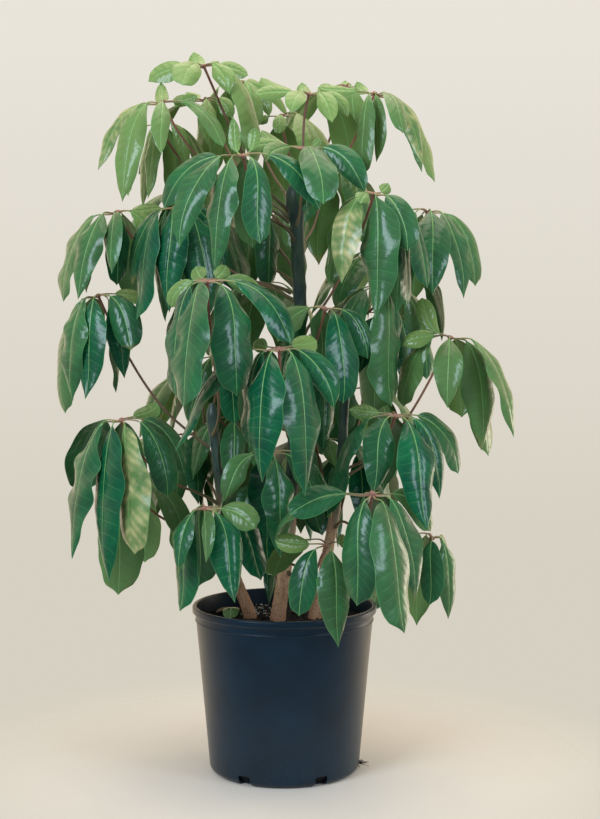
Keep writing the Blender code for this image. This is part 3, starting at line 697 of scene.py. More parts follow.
def leafletStalk(blank, frond, leaf, seed):
    share = np.linspace(0, 1, 9)
    radial = unit(leaf["socket"] - frond["hub"])
    start = frond["hub"] + radial * stalkShape["inHub"]
    end = curveAt(leaf["rib"], leafletShape["bareFoot"])
    reach = np.linalg.norm(end - start)
    path = hermite(start, radial * reach, end, unit(slopeAt(leaf["rib"], 0.0)) * reach, share[:, None])
    radii = stalkShape["leafletRadius"] * (1 + 0.5 * (1 - share) ** 3 + 0.1 * share ** 4)
    return bendTube(blank, "leafletStalk", path, radii, seed)


def leafStalk(blank, frond, seed):
    path = np.vstack([frond["hub"], curveAt(frond["stalk"], np.linspace(0, 1, 33))])
    share = np.linspace(0, 1, len(path))
    radius = stalkShape["radius"]
    clasp = np.clip((share - 0.86) / 0.14, 0, 1) ** 1.6
    radii = (radius * (1 + 0.25 * share) + (stalkShape["hubRadius"] - radius) * (1 - share) ** 12
             + (stalkShape["clasp"] - radius) * clasp)
    late = np.clip((share - 0.72) / 0.28, 0, 1) ** 2
    path[:, 2] -= stalkShape["rise"] * late  # leaves its stem upwards
    path[-1] += (path[-1] - path[-2]) * 0.15  # reaches into the stem
    return bendTube(blank, "leafStalk", path, radii, seed)


def modelHubBlank():
    blank = model(bpy.ops.mesh.primitive_uv_sphere_add, "hubBlank", segments=14, ring_count=8, radius=1)
    place = points(blank)
    turn = np.arctan2(place[:, 1], place[:, 0])
    place[:, :2] *= (1 + 0.10 * np.cos(7 * turn))[:, None]
    setPoints(blank, place)
    return blank


def placeHub(blank, frond):
    piece = copyOf(blank, "hub")
    axis = frond["axis"]
    side = unit(np.cross(axis, (0.2, 0.9, 0.1)))
    flat = points(blank) * stalkShape["hubSize"]
    setPoints(piece, frond["hub"] + flat @ (side, np.cross(axis, side), axis))
    writeAttribute(piece, "stalkPlace", 0, 0, 0.5)
    return piece


# Leaf and stalk materials

leafColours = {
    "deep": "#03452f",
    "full": "#0c643a",
    # pale yellow-green for youth, and painted light shining through or falling on the leaflets
    "young": "#8ba556",
    # painted highlight: a gold sheen between the side veins
    "gold": "#c4bb80",
    "rib": "#86b56a",
    "vein": "#5b9c58",
    "margin": "#5c9a56",
    "scorch": "#96894c",
    # the underside colours are a paler yellow-green, partly painted light shining through the leaf
    "underside": "#7d9c58",
    "undersideDeep": "#64884a",
    "undersideRib": "#b9c58c",
}

leafAttributes = {
    "leafPlace": ("across", "along", "margin"),
    "leafLook": ("young", "gold", "seed"),
    "leafShare": ("alongShare", "veinPhase", "edge"),
}  # distances in metres, and shares from 0 to 1


def leafParts(add):
    # What the leaflet's attributes say at each point, and from them where its rib and side veins run
    parts = {}
    for name, keys in leafAttributes.items():
        vector = add("Attribute", {}, attribute_name=name).outputs["Vector"]
        parts.update(zip(keys, add("SeparateXYZ", {0: vector}).outputs))
    ribWidth = add("MapRange", {0: parts["alongShare"], 3: 1.0 * mm, 4: 0.4 * mm})
    distance = add("Math", {0: parts["across"]}, operation="ABSOLUTE")
    ribShare = add("Math", {0: distance, 1: ribWidth}, operation="DIVIDE")
    parts["rib"] = add("MapRange", {0: ribShare, 1: 1.35, 2: 0.45})
    parts["veinGap"] = add("Math", {0: parts["veinPhase"], 1: 0.5}, operation="PINGPONG")
    vein = add("MapRange", {0: parts["veinGap"], 1: 0.05, 2: 0.012})
    fade = add("MapRange", {0: parts["edge"], 1: 1.0, 2: 0.7})
    parts["vein"] = add("Math", {0: vein, 1: fade}, operation="MULTIPLY")
    return parts


def leafRelief(add, shader, parts, place, strength):
    # Tissue swells between the side veins, dips along the rib, has a net of fine veins and a soft ripple
    pebble = add("TexNoise", {"Vector": place, "Scale": 1 / (2.6 * mm), "Detail": 3})
    ripple = add("TexNoise", {"Vector": place, "Scale": 1 / (12 * mm), "Detail": 2})
    height = add("MapRange", {0: parts["veinGap"], 1: 0.0, 2: 0.42, 4: 0.35},
                 interpolation_type="SMOOTHSTEP")
    for form, part in ((pebble, 0.18), (ripple, 1.9), (parts["rib"], -0.8)):
        height = add("Math", {0: form, 1: part, 2: height}, operation="MULTIPLY_ADD")
    for socket, part in (("Normal", 1.0), ("Coat Normal", 0.5)):  # the wax film evens it out
        bump = add("Bump", {"Strength": strength * part, "Distance": 1.0 * mm, "Height": height})
        wire(bump, shader.inputs[socket])


def leafSkin():
    # leaf with a waxy cuticle: deep green, soft shine under a thin film of wax, pale sunken rib; paler
    # yellow-green for youth and for painted light shining through or falling from above, and a painted
    # gold sheen between the veins of a few leaflets
    material, add, shader, place, _, colour = cloudyMaterial(
        "waxyLeafSkin",
        {"IOR": 1.45, "Specular IOR Level": 0.15, "Coat Weight": 0.60, "Coat Roughness": 0.20},
        30 * mm, 3, (0.3, 0.72), (leafColours["deep"], leafColours["full"]))
    parts = leafParts(add)
    # pale yellow-green for youth, partly painted light shining through the leaflets at the back and
    # falling on the top ones
    colour = add("Mix", {0: parts["young"], 6: colour, 7: leafColours["young"]}, data_type="RGBA")
    # painted highlight: a gold sheen in blotches between the side veins, on the leaflets that carry it
    gap = add("MapRange", {0: parts["veinGap"], 1: 0.05, 2: 0.45, 3: 0.4})
    blur = add("TexNoise", {"Vector": place, "Scale": 1 / (26 * mm), "Detail": 5})
    blur = add("MapRange", {0: blur, 1: 0.38, 2: 0.60})
    paintedSheenPatch = add("Math", {0: gap, 1: blur}, operation="MULTIPLY")
    line = add("MapRange", {0: parts["margin"], 1: 1.2 * mm, 2: 0.2 * mm})
    tip = add("MapRange", {0: parts["alongShare"], 1: 0.90, 2: 1.0})
    some = add("MapRange", {0: parts["seed"], 1: 0.88, 2: 0.98})
    colour = layColours(add, colour, (
        (paintedSheenPatch, parts["gold"], leafColours["gold"]), (parts["vein"], 0.32, leafColours["vein"]),
        (line, 0.5, leafColours["margin"]), (parts["rib"], 0.8, leafColours["rib"]),
        (tip, some, leafColours["scorch"])))
    smear = add("TexNoise", {"Vector": place, "Scale": 1 / (14 * mm), "Detail": 3})
    shine = add("MapRange", {0: smear, 1: 0.3, 2: 0.75, 3: 0.26, 4: 0.42})
    wireAll(shader, {"Base Color": colour, "Roughness": shine})
    leafRelief(add, shader, parts, place, 0.5)
    return material


def leafUnderside():
    # the leaf's unwaxed lower skin: paler, partly painted light shining through the leaf, matt, with the
    # rib standing out
    material, add, shader, place, _, colour = cloudyMaterial(
        "mattLeafUnderside", {"IOR": 1.4, "Roughness": 0.55}, 24 * mm, 3, (0.3, 0.7),
        (leafColours["undersideDeep"], leafColours["underside"]))
    parts = leafParts(add)
    pale = leafColours["undersideRib"]
    colour = layColours(add, colour, ((parts["vein"], 0.4, pale), (parts["rib"], 0.9, pale)))
    wire(colour, shader.inputs["Base Color"])
    leafRelief(add, shader, parts, place, 0.3)
    return material


def stalkSkin(name, hubEnd, farEnd, roughness):
    # smooth young rind with corky dots: reddish at the hub, turning to its other colour further off
    material, add, shader, place = newMaterial(name, {"IOR": 1.45, "Roughness": roughness})
    vector = add("Attribute", {}, attribute_name="stalkPlace").outputs["Vector"]
    share = add("SeparateXYZ", {0: vector}).outputs
    streak = add("TexNoise", {"Vector": place, "Scale": 1 / (5 * mm), "Detail": 4})
    swing = add("MapRange", {0: streak, 1: 0.25, 2: 0.75, 3: -0.15, 4: 0.15})
    mix = add("Math", {0: share["X"], 1: swing}, operation="ADD", use_clamp=True)
    colour = add("Mix", {0: mix, 6: hubEnd, 7: farEnd}, data_type="RGBA")
    speck = add("TexNoise", {"Vector": place, "Scale": 1 / (1.5 * mm), "Detail": 1})
    dots = add("MapRange", {0: speck, 1: 0.62, 2: 0.70})
    colour = layColours(add, colour, ((share["Z"], 0.6, "#4b3a30"), (dots, 0.3, "#b59a7c")))
    bump = add("Bump", {"Strength": 0.3, "Distance": 0.4 * mm, "Height": streak})
    wireAll(shader, {"Base Color": colour, "Normal": bump})
    return material


# Fronds: how pale the leaflets of each are, from 0 to 1, for youth and for painted light shining through
# them or falling on them from above, and how slim

frondYoungAndLit = {
    "crown_left": 0.55, "crown_left_rear": 0.65, "top_left": 0.60, "top_left_rear": 0.60,
    "top_rear": 0.55, "star": 0.16, "top": 0.62, "top_small": 0.58, "upper_middle": 0.12,
    "top_right": 0.42, "top_right_rear": 0.60, "upper_right_front": 0.10, "right_inner": 0.18,
    "upper_right": 0.22, "right_outer": 0.42, "right_front": 0.06, "low_right": 0.16,
    "low_right_front": 0.14, "low_middle": 0.16, "middle_front": 0.02, "left_front": 0.04,
    "left_upper_outer": 0.16, "left_upper": 0.06, "left_outer": 0.12, "low_left_outer": 0.08,
    "low_left_rear": 0.30, "low_left_front": 0.06,
}
slimFronds = {
    "crown_left": 0.72, "crown_left_rear": 0.8, "top_right": 0.8, "top": 0.85, "top_rear": 0.8,
    "top_right_rear": 0.8, "upper_middle": 0.8, "upper_right": 0.85, "star": 0.86,
}
paintedSheenLeaflets = {
    "crown_left": (-1.0, -0.3, -0.1), "upper_right_front": (-1.0, -0.2, -0.4),
    "low_left_outer": (0.8, -0.4, -0.3), "top_right": (0.5, -0.6, -0.8),
}  # the way the leaflet of each with a painted gold sheen between its veins points from its hub

youngAndLitRules = {
    "usual": 0.08,
    "scatter": (-0.13, 0.05),
    # painted light: behindHub and deep paint the leaflets at the back paler, as if lit through; short
    # paints the newest paler
    "behindHub": (0.40, 0.0, 0.06),  # how much paler at most, and from where to where, in metres
    "deep": (0.34, -0.03, 0.11),
    "short": (0.50, 0.085, 0.055),
    "goldLeast": 0.42,
    "most": 0.72,
}


def youngerAndLit(rule, distance):
    most, start, end = youngAndLitRules[rule]
    return most * min(max((distance - start) / (end - start), 0), 1)


def leafletLook(kind, frond, leaf, hasPaintedSheen, rng):
    # Painted light: those at the back are painted paler, as if the wall's light shone through them; the
    # newest are short and pale
    young = frondYoungAndLit.get(kind, youngAndLitRules["usual"]) + rng.uniform(*youngAndLitRules["scatter"])
    young += youngerAndLit("behindHub", curveAt(leaf["rib"], 1.0)[1] - frond["hub"][1]) * rng.random()
    young += youngerAndLit("deep", curveAt(leaf["rib"], 0.5)[1]) * rng.random()
    young += youngerAndLit("short", leaf["length"])
    if hasPaintedSheen:
        young = max(young, youngAndLitRules["goldLeast"])
    return {"young": min(max(young, 0), youngAndLitRules["most"]), "gold": 0.85 if hasPaintedSheen else 0.0,
            "seed": rng.random()}


def pieceName(nodeName):
    words = nodeName.split("_")
    return words[0] + "".join(word.capitalize() for word in words[1:])


def paintedSheenLeaflet(kind, frond):
    if kind not in paintedSheenLeaflets:
        return None
    reach = [np.dot(curveAt(leaf["rib"], 1.0) - frond["hub"], paintedSheenLeaflets[kind])
             for leaf in frond["leaflets"]]
    return int(np.argmax(reach))


def buildFronds(leafletBlank):
    tubeBlank = modelTubeBlank("stalkBlank", stalkShape["sides"], stalkShape["cuts"])
    thinBlank = modelTubeBlank("leafletStalkBlank", stalkShape["leafletSides"], stalkShape["leafletCuts"])
    hubBlank = modelHubBlank()
    tubeBlank.data.materials.append(stalkSkin("youngStalkRind", "#9c5c49", "#6f6b48", 0.42))
    thinBlank.data.materials.append(stalkSkin("leafletStalkRind", "#c08a72", "#a3b46c", 0.45))
    hubBlank.data.materials.append(stalkSkin("hubRind", "#b07c6a", "#b07c6a", 0.5))
    total = 0
    for index, nodeName in enumerate(frondNodes):
        rng = random.Random(500 + index)
        kind = nodeName.removeprefix("frond_")
        frond = readFrond(nodeName)
        sheenLeafletIndex = paintedSheenLeaflet(kind, frond)
        pieces = []
        for place, leaf in enumerate(frond["leaflets"]):
            leaf["halfWidth"] *= slimFronds.get(kind, 1.0)
            look = leafletLook(kind, frond, leaf, place == sheenLeafletIndex, rng)
            pieces.append(bendLeaflet(leafletBlank, leaf, look, rng))
            pieces.append(leafletStalk(thinBlank, frond, leaf, rng.random()))
        total += len(frond["leaflets"])
        pieces.append(leafStalk(tubeBlank, frond, rng.random()))
        pieces.append(placeHub(hubBlank, frond))
        piece = joinAll(pieces, pieceName(nodeName))
        finish(piece, "foliage", nodeName)
    discard(tubeBlank, thinBlank, hubBlank)
    print("fronds built:", len(frondNodes), "with leaflets:", total)


# Stems

stemShape = {
    "sides": 28,
    "ringStep": 4 * mm,
    "nodeStep": 27 * mm,
    "nodeSwell": 0.7 * mm,
    "barkBump": 0.35 * mm,
    "flare": 1.6 * mm,
    "flareHeight": 14 * mm,
}


def ringsByHeight(nodeName):
    levels = {}
    for vert in nodes[nodeName].data.vertices:
        levels.setdefault(round(vert.co.z, 4), []).append(vert.co)
    centres, radii = [], []
    for height in sorted(levels):
        ring = np.array(levels[height])
        centre = (ring.min(axis=0) + ring.max(axis=0)) / 2
        centres.append(centre)
        radii.append(np.linalg.norm(ring - centre, axis=1).max())
    return np.array(centres), np.array(radii)


def smoothBetween(heights, values, wanted):
    # Cubic through the frame's rings with slopes from their neighbours
    slopes = np.gradient(values, heights, axis=0)
    index = np.clip(np.searchsorted(heights, wanted) - 1, 0, len(heights) - 2)
    span = heights[index + 1] - heights[index]
    share = (wanted - heights[index]) / span
    if values.ndim == 2:
        share, span = share[:, None], span[:, None]
    return hermite(values[index], slopes[index] * span,
                   values[index + 1], slopes[index + 1] * span, share)


def buildStem(nodeName, material, soilTop):
    centres, radii = ringsByHeight(nodeName)
    bottom, top = centres[0, 2], centres[-1, 2]
    rings = round((top - bottom) / stemShape["ringStep"])
    blank = modelTubeBlank("stemBlank", stemShape["sides"], rings - 1)
    heights = np.linspace(bottom, top, rings + 1)
    path = smoothBetween(centres[:, 2], centres, heights)
    radius = smoothBetween(centres[:, 2], radii, heights)
    above = np.clip(heights - soilTop, 0, None)
    flare = stemShape["flare"] * np.exp(-above / stemShape["flareHeight"])
    piece = bendTube(blank, pieceName(nodeName), path, radius + flare * (heights > soilTop - 3 * mm))
    place = points(piece)
    outward = place - smoothBetween(centres[:, 2], centres, np.clip(place[:, 2], bottom, top))
    outward[:, 2] = 0
    outward /= np.maximum(np.linalg.norm(outward, axis=1, keepdims=True), 1e-6)
    phase = (place[:, 2] - bottom) / stemShape["nodeStep"]
    node = np.abs((phase + 0.15 * np.sin(phase * 2.3)) % 1 - 0.5) * 2
    swell = stemShape["nodeSwell"] * np.exp(-((1 - node) / 0.16) ** 2)
    grain = np.array([noise.fractal(Vector(co), 0.8, 2.0, 3) for co in place * (160, 160, 60)])
    setPoints(piece, place + outward * (swell + stemShape["barkBump"] * grain)[:, None])
    piece.data.materials.append(material)
    discard(blank)
    finish(piece, "bark", nodeName)


def stemBark(soilTop):
    # umbrella tree bark: tan with dark corky dots, reddish at the soil, a dark smooth rind higher up
    material, add, shader, place = newMaterial("speckledBark", {"IOR": 1.45})
    height = add("SeparateXYZ", {0: place}).outputs["Z"]
    fibre = add("Mapping", {"Vector": place, "Scale": (1, 1, 0.3)})
    blotch = add("TexNoise", {"Vector": fibre, "Scale": 1 / (9 * mm), "Detail": 4})
    tone = add("MapRange", {0: blotch, 1: 0.3, 2: 0.7})
    tan = add("Mix", {0: tone, 6: "#a67853", 7: "#dfb58a"}, data_type="RGBA")
    speck = add("TexNoise", {"Vector": place, "Scale": 1 / (2.2 * mm), "Detail": 2})
    dots = add("MapRange", {0: speck, 1: 0.58, 2: 0.66})
    low = add("MapRange", {0: height, 1: soilTop + 0.035, 2: soilTop + 0.002, 4: 0.5})
    red = add("MapRange", {0: blotch, 1: 0.4, 2: 0.6})
    tan = layColours(add, tan, ((dots, 0.7, "#3c2a20"), (red, low, "#9c5240")))
    rind = add("Mix", {0: tone, 6: "#2a3d3a", 7: "#4a5d4a"}, data_type="RGBA")
    ragged = add("Math", {0: blotch, 1: 0.12, 2: height}, operation="MULTIPLY_ADD")
    greening = add("MapRange", {0: ragged, 1: soilTop + 0.14, 2: soilTop + 0.26})
    colour = add("Mix", {0: greening, 6: tan, 7: rind}, data_type="RGBA")
    shine = add("MapRange", {0: greening, 3: 0.72, 4: 0.34})
    relief = add("Math", {0: dots, 1: 0.35, 2: blotch}, operation="MULTIPLY_ADD")
    bump = add("Bump", {"Strength": 0.6, "Distance": 0.8 * mm, "Height": relief})
    wireAll(shader, {"Base Color": colour, "Roughness": shine, "Normal": bump})
    return material


# Pot

potShape = {
    "sides": 144,
    "height": 0.238,
    "rimRadius": 0.132,
    "topRadius": 0.1285,
    "baseRadius": 0.107,
    "wall": 2.2 * mm,
    "floor": 2.5 * mm,
    "corner": 10 * mm,
    "beadHeight": 10 * mm,
    "bandHeight": 21 * mm,
    "notchCount": 6,
    "notchWidth": 19 * mm,
    "notchDepth": 26 * mm,
    "notchHeight": 14 * mm,
    "notchFirstTurn": -31,
}


def potWallRadius(height):
    slope = (potShape["topRadius"] - potShape["baseRadius"]) / potShape["height"]
    return potShape["baseRadius"] + slope * height


def arc(centre, bend, startTurn, endTurn, steps):
    # Points (radius, height) on a rounded corner, turns in degrees from straight outwards
    turns = [math.radians(startTurn + (endTurn - startTurn) * step / steps) for step in range(steps + 1)]
    return [(centre[0] + bend * math.cos(turn), centre[1] + bend * math.sin(turn)) for turn in turns]


def potProfile():
    # Up the outside, over the rolled rim and down the inside; a piece of line for each of its forms
    height, corner, wall = potShape["height"], potShape["corner"], potShape["wall"]
    band, bead = height - potShape["bandHeight"], height - potShape["beadHeight"]
    foot, atBand, atBead, atTop = (potWallRadius(level) for level in (corner, band, bead, height))
    rim = potShape["rimRadius"]
    outside = arc((foot - corner, corner), corner, -90, 0, 8)
    outside += [(potWallRadius(step / 6 * band), step / 6 * band) for step in range(1, 6)]
    outside += [(atBand + 0.1 * mm, band - 1.2 * mm)]
    outside += arc((atBand + 0.7 * mm, band), 0.9 * mm, -80, 80, 6)
    outside += [(atBand + 0.5 * mm, band + 1.8 * mm), (atBead + 0.9 * mm, bead - 1.5 * mm)]
    outside += arc((rim - 2.4 * mm, bead + 2.0 * mm), 2.4 * mm, -80, -5, 5)
    outside += arc((rim - 2.6 * mm, height - 2.6 * mm), 2.6 * mm, 0, 90, 6)
    outside += arc((atTop - wall + 1.6 * mm, height - 1.6 * mm), 1.6 * mm, 95, 180, 5)
    inside = [(potWallRadius(level) - wall, level) for level in (0.222, 0.20, 0.12, 0.04)]
    inside += [(radius - wall, level + potShape["floor"]) for radius, level in
               reversed(arc((foot - corner, corner), corner, -90, 0, 6))]
    return outside + inside


def modelPot():
    # A base disc drawn up ring by ring over the rim and down inside to the floor
    profile = potProfile()
    radius, height = profile[0]
    pot = model(bpy.ops.mesh.primitive_circle_add, "nurseryPot", vertices=potShape["sides"],
                radius=radius, fill_type="NGON", location=(0, 0, height))
    editMode(pot)
    bpy.ops.mesh.select_all(action="SELECT")
    drawOut(profile)
    turnOutwards()
    for index in range(potShape["notchCount"]):
        turn = math.radians(potShape["notchFirstTurn"] + index * 360 / potShape["notchCount"])
        cutNotch(pot, turn)
    return pot


def cutNotch(pot, turn):
    # Drain notch: a box with rounded upper corners through the foot of the wall
    place = Matrix.Rotation(turn, 3, "Z") @ Vector((0, -potShape["baseRadius"], 0))
    outward = place.normalized()
    top = potShape["notchHeight"]
    cutter = model(bpy.ops.mesh.primitive_cube_add, "notchCutter", size=1, location=place,
                   rotation=(0, 0, turn), scale=(potShape["notchWidth"], potShape["notchDepth"], 2 * top))
    editMode(cutter)
    bpy.ops.mesh.select_mode(type="EDGE")
    selectWhere(cutter, "edges", lambda edge: all(vert.co.z > top - 1 * mm for vert in edge.verts)
                and abs((edge.verts[0].co - edge.verts[1].co).normalized().dot(outward)) > 0.9)
    bpy.ops.mesh.bevel(offset=3 * mm, segments=4)
    bpy.ops.mesh.select_mode(type="VERT")
    objectMode()
    applyModifier(pot, "BOOLEAN", operation="DIFFERENCE", solver="EXACT", object=cutter)
    discard(cutter)


def potPlastic():
    # injection moulded polypropylene, black with a navy cast: soft shine, dusty and faintly scuffed
    material, add, shader, place, cloud, colour = cloudyMaterial("mouldedPolypropylene", {
        "IOR": 1.49, "Specular IOR Level": 0.2, "Coat Weight": 0.3, "Coat Roughness": 0.3,
        "Sheen Weight": 0.09, "Sheen Roughness": 0.35, "Sheen Tint": "#f0d6b4"},
        60 * mm, 5, (0.35, 0.7), ("#051f2d", "#082737"))
    height = add("SeparateXYZ", {0: place}).outputs["Z"]
    film = add("TexNoise", {"Vector": place, "Scale": 1 / (4 * mm), "Detail": 6, "Roughness": 0.7})
    film = add("MapRange", {0: film, 1: 0.56, 2: 0.72})
    settled = add("MapRange", {0: height, 1: 0.0, 2: 0.10, 3: 0.30, 4: 0.06})
    dust = add("Math", {0: film, 1: settled}, operation="MULTIPLY")
    drag = add("Mapping", {"Vector": place, "Scale": (1, 1, 6)})
    scuff = add("TexNoise", {"Vector": drag, "Scale": 1 / (18 * mm), "Detail": 8, "Roughness": 0.75})
    scuff = add("MapRange", {0: scuff, 1: 0.66, 2: 0.72})
    colour = layColours(add, colour, ((dust, 1, "#5a5148"), (scuff, 0.2, "#434c54")))
    shine = add("MapRange", {0: cloud, 1: 0.3, 2: 0.75, 3: 0.38, 4: 0.46})
    shine = add("Math", {0: dust, 1: 0.5, 2: shine}, operation="MULTIPLY_ADD")
    pebble = add("TexNoise", {"Vector": place, "Scale": 1 / (0.9 * mm)})  # finer on a real pot
    wobble = add("TexNoise", {"Vector": place, "Scale": 1 / (45 * mm), "Detail": 1})  # uneven wall
    relief = add("Math", {0: pebble, 1: 0.05, 2: wobble}, operation="MULTIPLY_ADD")
    bump = add("Bump", {"Strength": 0.35, "Distance": 2.0 * mm, "Height": relief})
    wireAll(shader, {"Base Color": colour, "Roughness": shine, "Normal": bump})
    return material


def buildPot():
    pot = modelPot()
    pot.data.materials.append(potPlastic())
    finish(pot, "pot", "pot", degrees=35)


# Soil with its grains

soilShape = {
    "sides": 72,
    "cuts": 22,
    "gap": 0.4 * mm,
    "clod": 2.2 * mm,
    "edgeDip": 1.2 * mm,
    "perlite": 95,
    "perliteSize": (0.7, 1.6),
    "perliteSpot": (-0.034, 0.062, 0.012, 0.025),
    "crumbs": 260,
    "crumbSize": (1.2, 3.6),
    "wallRoom": 7 * mm,
    "stemRoom": 12 * mm,
}


def modelSoil():
    # The filling of the pot: a fine disc on top, drawn down along the wall to the floor
    low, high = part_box("soil")
    top = high.z - 1.5 * mm
    path = [(potWallRadius(level) - potShape["wall"] - soilShape["gap"], level)
            for level in (top, 0.14, 0.07, potShape["corner"] + potShape["floor"])]
    path.append((path[-1][0] - potShape["corner"], low.z))
    inner = path[0][0]
    soil = model(bpy.ops.mesh.primitive_circle_add, "pottingMix", vertices=soilShape["sides"],
                 radius=inner, fill_type="TRIFAN", location=(0, 0, top))
    editMode(soil)
    bpy.ops.mesh.select_all(action="SELECT")
    bpy.ops.mesh.subdivide(number_cuts=soilShape["cuts"])
    selectWhere(soil, "edges", lambda edge: edge.is_boundary)
    drawOut(path)
    bpy.ops.mesh.edge_face_add()
    turnOutwards()
    place = points(soil)
    for index in np.flatnonzero(place[:, 2] > top - 0.1 * mm):
        x, y, _ = place[index]
        spread = min(1.0, (inner - math.hypot(x, y)) / (8 * mm))
        lumps = noise.fractal(Vector((x * 90, y * 90, 1.0)), 0.9, 2.1, 5)
        slope = noise.noise(Vector((x * 14, y * 14, 5.0)))
        place[index, 2] += (spread * soilShape["clod"] * (lumps * 0.9 + slope * 0.8)
                            - (1 - spread) * soilShape["edgeDip"])
    setPoints(soil, place)
    return soil


def soilMix():
    # peat and bark compost, damp: near black, matt, crumbly
    material, add, shader, place, _, colour = cloudyMaterial(
        "dampPeatCompost", {"Roughness": 0.92, "Specular IOR Level": 0.25}, 3 * mm, 6, (0.38, 0.66),
        ("#06080c", "#1b1a1d"), 0.7, (0.9, 1.5 * mm))
    strand = add("TexNoise", {"Vector": place, "Scale": 1 / (1.4 * mm), "Detail": 3})
    strand = add("MapRange", {0: strand, 1: 0.66, 2: 0.72})
    wire(layColours(add, colour, [(strand, 0.5, "#43382f")]), shader.inputs["Base Color"])
    return material


def grainSkin(name, roughness, grain, colours):
    # grains with a pitted, uneven face
    return cloudyMaterial(name, {"Roughness": roughness}, grain, 3, (0.35, 0.62), colours,
                          relief=(0.6, 0.4 * mm))[0]


def scatterGrains(name, count, sizes, flatness, material, surface, rng, spot=None):
    # Small irregular grains resting on the soil; spot is a centre and spread where most of them lie
    blank = model(bpy.ops.mesh.primitive_ico_sphere_add, "grainBlank", subdivisions=1, radius=1)
    blank.data.materials.append(material)
    flat = points(blank)
    reach = potWallRadius(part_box("soil")[1].z) - soilShape["wallRoom"]
    stems = [ringsByHeight(stemName)[0][1][:2] for stemName in stemNodes]
    pieces = []
    while len(pieces) < count:
        if spot and rng.random() < 0.75:
            x, y = rng.gauss(spot[0], spot[2]), rng.gauss(spot[1], spot[3])
        else:
            turn, distance = rng.uniform(0, math.tau), reach * math.sqrt(rng.random())
            x, y = distance * math.cos(turn), distance * math.sin(turn)
        if math.hypot(x, y) > reach or any(
                math.dist((x, y), stem) < soilShape["stemRoom"] for stem in stems):
            continue
        hit = surface.ray_cast(Vector((x, y, 0.3)), Vector((0, 0, -1)))[0]
        size = rng.uniform(*sizes) * mm
        uneven = np.array([[rng.uniform(0.75, 1.25)] for _ in flat])
        turn, tilt = rng.uniform(0, math.tau), rng.uniform(-0.5, 0.5)
        turned = Matrix.Rotation(turn, 3, "Z") @ Matrix.Rotation(tilt, 3, "X")
        shape = flat * uneven * size * (1.0, rng.uniform(0.6, 1.0), flatness)
        piece = copyOf(blank, "grain")
        setPoints(piece, shape @ np.array(turned).T + np.array((x, y, hit.z + size * flatness * 0.35)))
        pieces.append(piece)
    discard(blank)
    finish(joinAll(pieces, name), "soil", degrees=None)


def buildSoil():
    soil = modelSoil()
    soil.data.materials.append(soilMix())
    finish(soil, "soil", "soil", degrees=60)
    mesh = soil.data
    surface = BVHTree.FromPolygons([vert.co.copy() for vert in mesh.vertices],
                                   [list(face.vertices) for face in mesh.polygons])
    rng = random.Random(21)
    perlite = grainSkin("expandedPerlite", 0.85, 0.7 * mm, ("#b7b2a6", "#efece4"))  # chalk white, matt
    bark = grainSkin("compostedBark", 0.88, 6 * mm, ("#15110f", "#41332a"))  # dark brown, dull
    scatterGrains("perliteGrains", soilShape["perlite"], soilShape["perliteSize"], 0.8, perlite, surface,
                  rng, soilShape["perliteSpot"])
    scatterGrains("barkCrumbs", soilShape["crumbs"], soilShape["crumbSize"], 0.45, bark, surface, rng)


# Litter: a dried and a green leaflet on the soil, and roots at a drain notch


def driedLeaf():
    # dead leaf tissue: brown, brittle, dull, with its rib still pale
    material, add, shader, _, _, colour = cloudyMaterial(
        "driedLeafTissue", {"Roughness": 0.75}, 8 * mm, 5, (0.35, 0.65), ("#5f4a34", "#9a7e5c"), 0.65,
        (0.8, 1.0 * mm))
    parts = leafParts(add)
    colour = layColours(add, colour, ((parts["vein"], 0.4, "#b59a74"), (parts["rib"], 0.7, "#b8a07a")))
    wire(colour, shader.inputs["Base Color"])
    return material


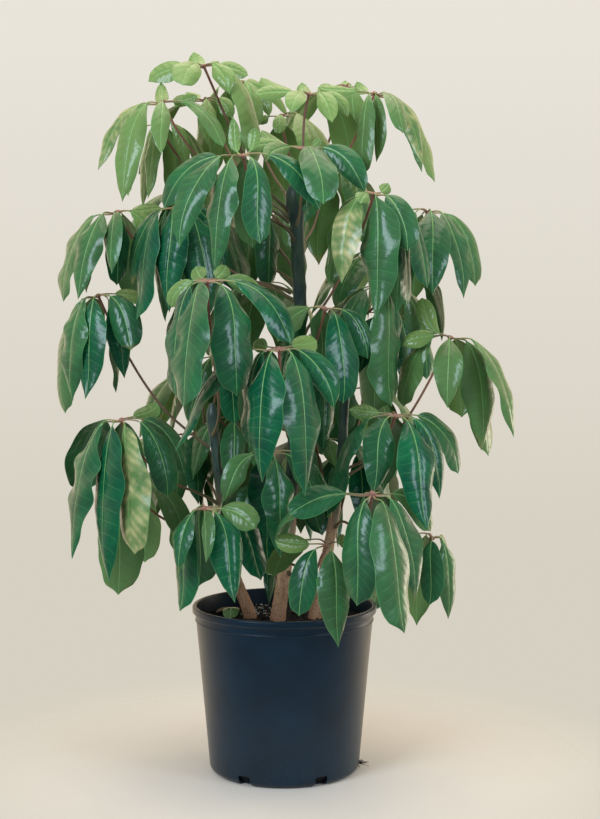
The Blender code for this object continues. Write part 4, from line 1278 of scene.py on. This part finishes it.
def buildFallenLeaves(leafletBlank):
    tissue = driedLeaf()
    for nodeName, name, slot, young, seed in (
            ("fallen_leaf_green", "fallenGreenLeaf", "foliage", 0.35, 6),
            ("fallen_leaf", "driedLeaf", "litter", 0, 5)):
        look = {"young": young, "gold": 0, "seed": 0.2}
        leaf = bendLeaflet(leafletBlank, readLooseLeaf(nodeName), look, random.Random(seed))
        leaf.name = name
        if slot == "litter":
            leaf.data.materials[0] = leaf.data.materials[1] = tissue
        finish(leaf, slot, nodeName)


def rootSkin():
    # drain roots dried in the air: thin, dark brown
    return cloudyMaterial("driedRoot", {"Roughness": 0.8}, 2 * mm, 3, (0, 1), ("#14100e", "#3a2c24"))[0]


rootShape = {"strands": 20, "shortest": 3 * mm, "bow": 1.5 * mm,
             "radius": 0.65 * mm, "taper": 0.45 * mm}


def buildDrainRoots():
    # Wiry strands from the soil face out of the notch, inside the place that the frame gives them
    low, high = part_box("drain_roots")
    middle = (low + high) / 2
    outward = Vector((middle.x, middle.y, 0)).normalized()
    start = outward * min(low.dot(outward), high.dot(outward)) + Vector((0, 0, middle.z))
    rng = random.Random(33)
    blank = modelTubeBlank("rootBlank", 6, 7)
    blank.data.materials.append(rootSkin())
    share = np.linspace(0, 1, 9)
    radii = rootShape["radius"] - rootShape["taper"] * share
    pieces = []
    for _ in range(rootShape["strands"]):
        end = Vector([rng.uniform(low[axis], high[axis]) for axis in range(3)])
        if (end - start).dot(outward) < rootShape["shortest"]:
            continue
        bend = [rng.uniform(-rootShape["bow"], rootShape["bow"]) for _ in range(3)]
        bow = (start + end) / 2 + Vector(bend)
        path = np.array([start.lerp(bow, part).lerp(bow.lerp(end, part), part) for part in share])
        pieces.append(bendTube(blank, "rootStrand", path, radii))
    discard(blank)
    roots = joinAll(pieces, "drainRoots")
    finish(roots, "litter", "drain_roots")


# Everything in order

setCamera()
setLights()
setRoom()
setFloor()
print("studio set")
buildPot()
print("pot built")
buildSoil()
print("soil filled")
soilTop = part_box("soil")[1].z
bark = stemBark(soilTop)
for stemName in stemNodes:
    buildStem(stemName, bark, soilTop)
print("stems built")
leafletBlank = modelLeafletBlank()
leafletBlank.data.materials.append(leafSkin())
leafletBlank.data.materials.append(leafUnderside())
buildFallenLeaves(leafletBlank)
buildDrainRoots()
print("litter laid")
buildFronds(leafletBlank)
discard(leafletBlank)
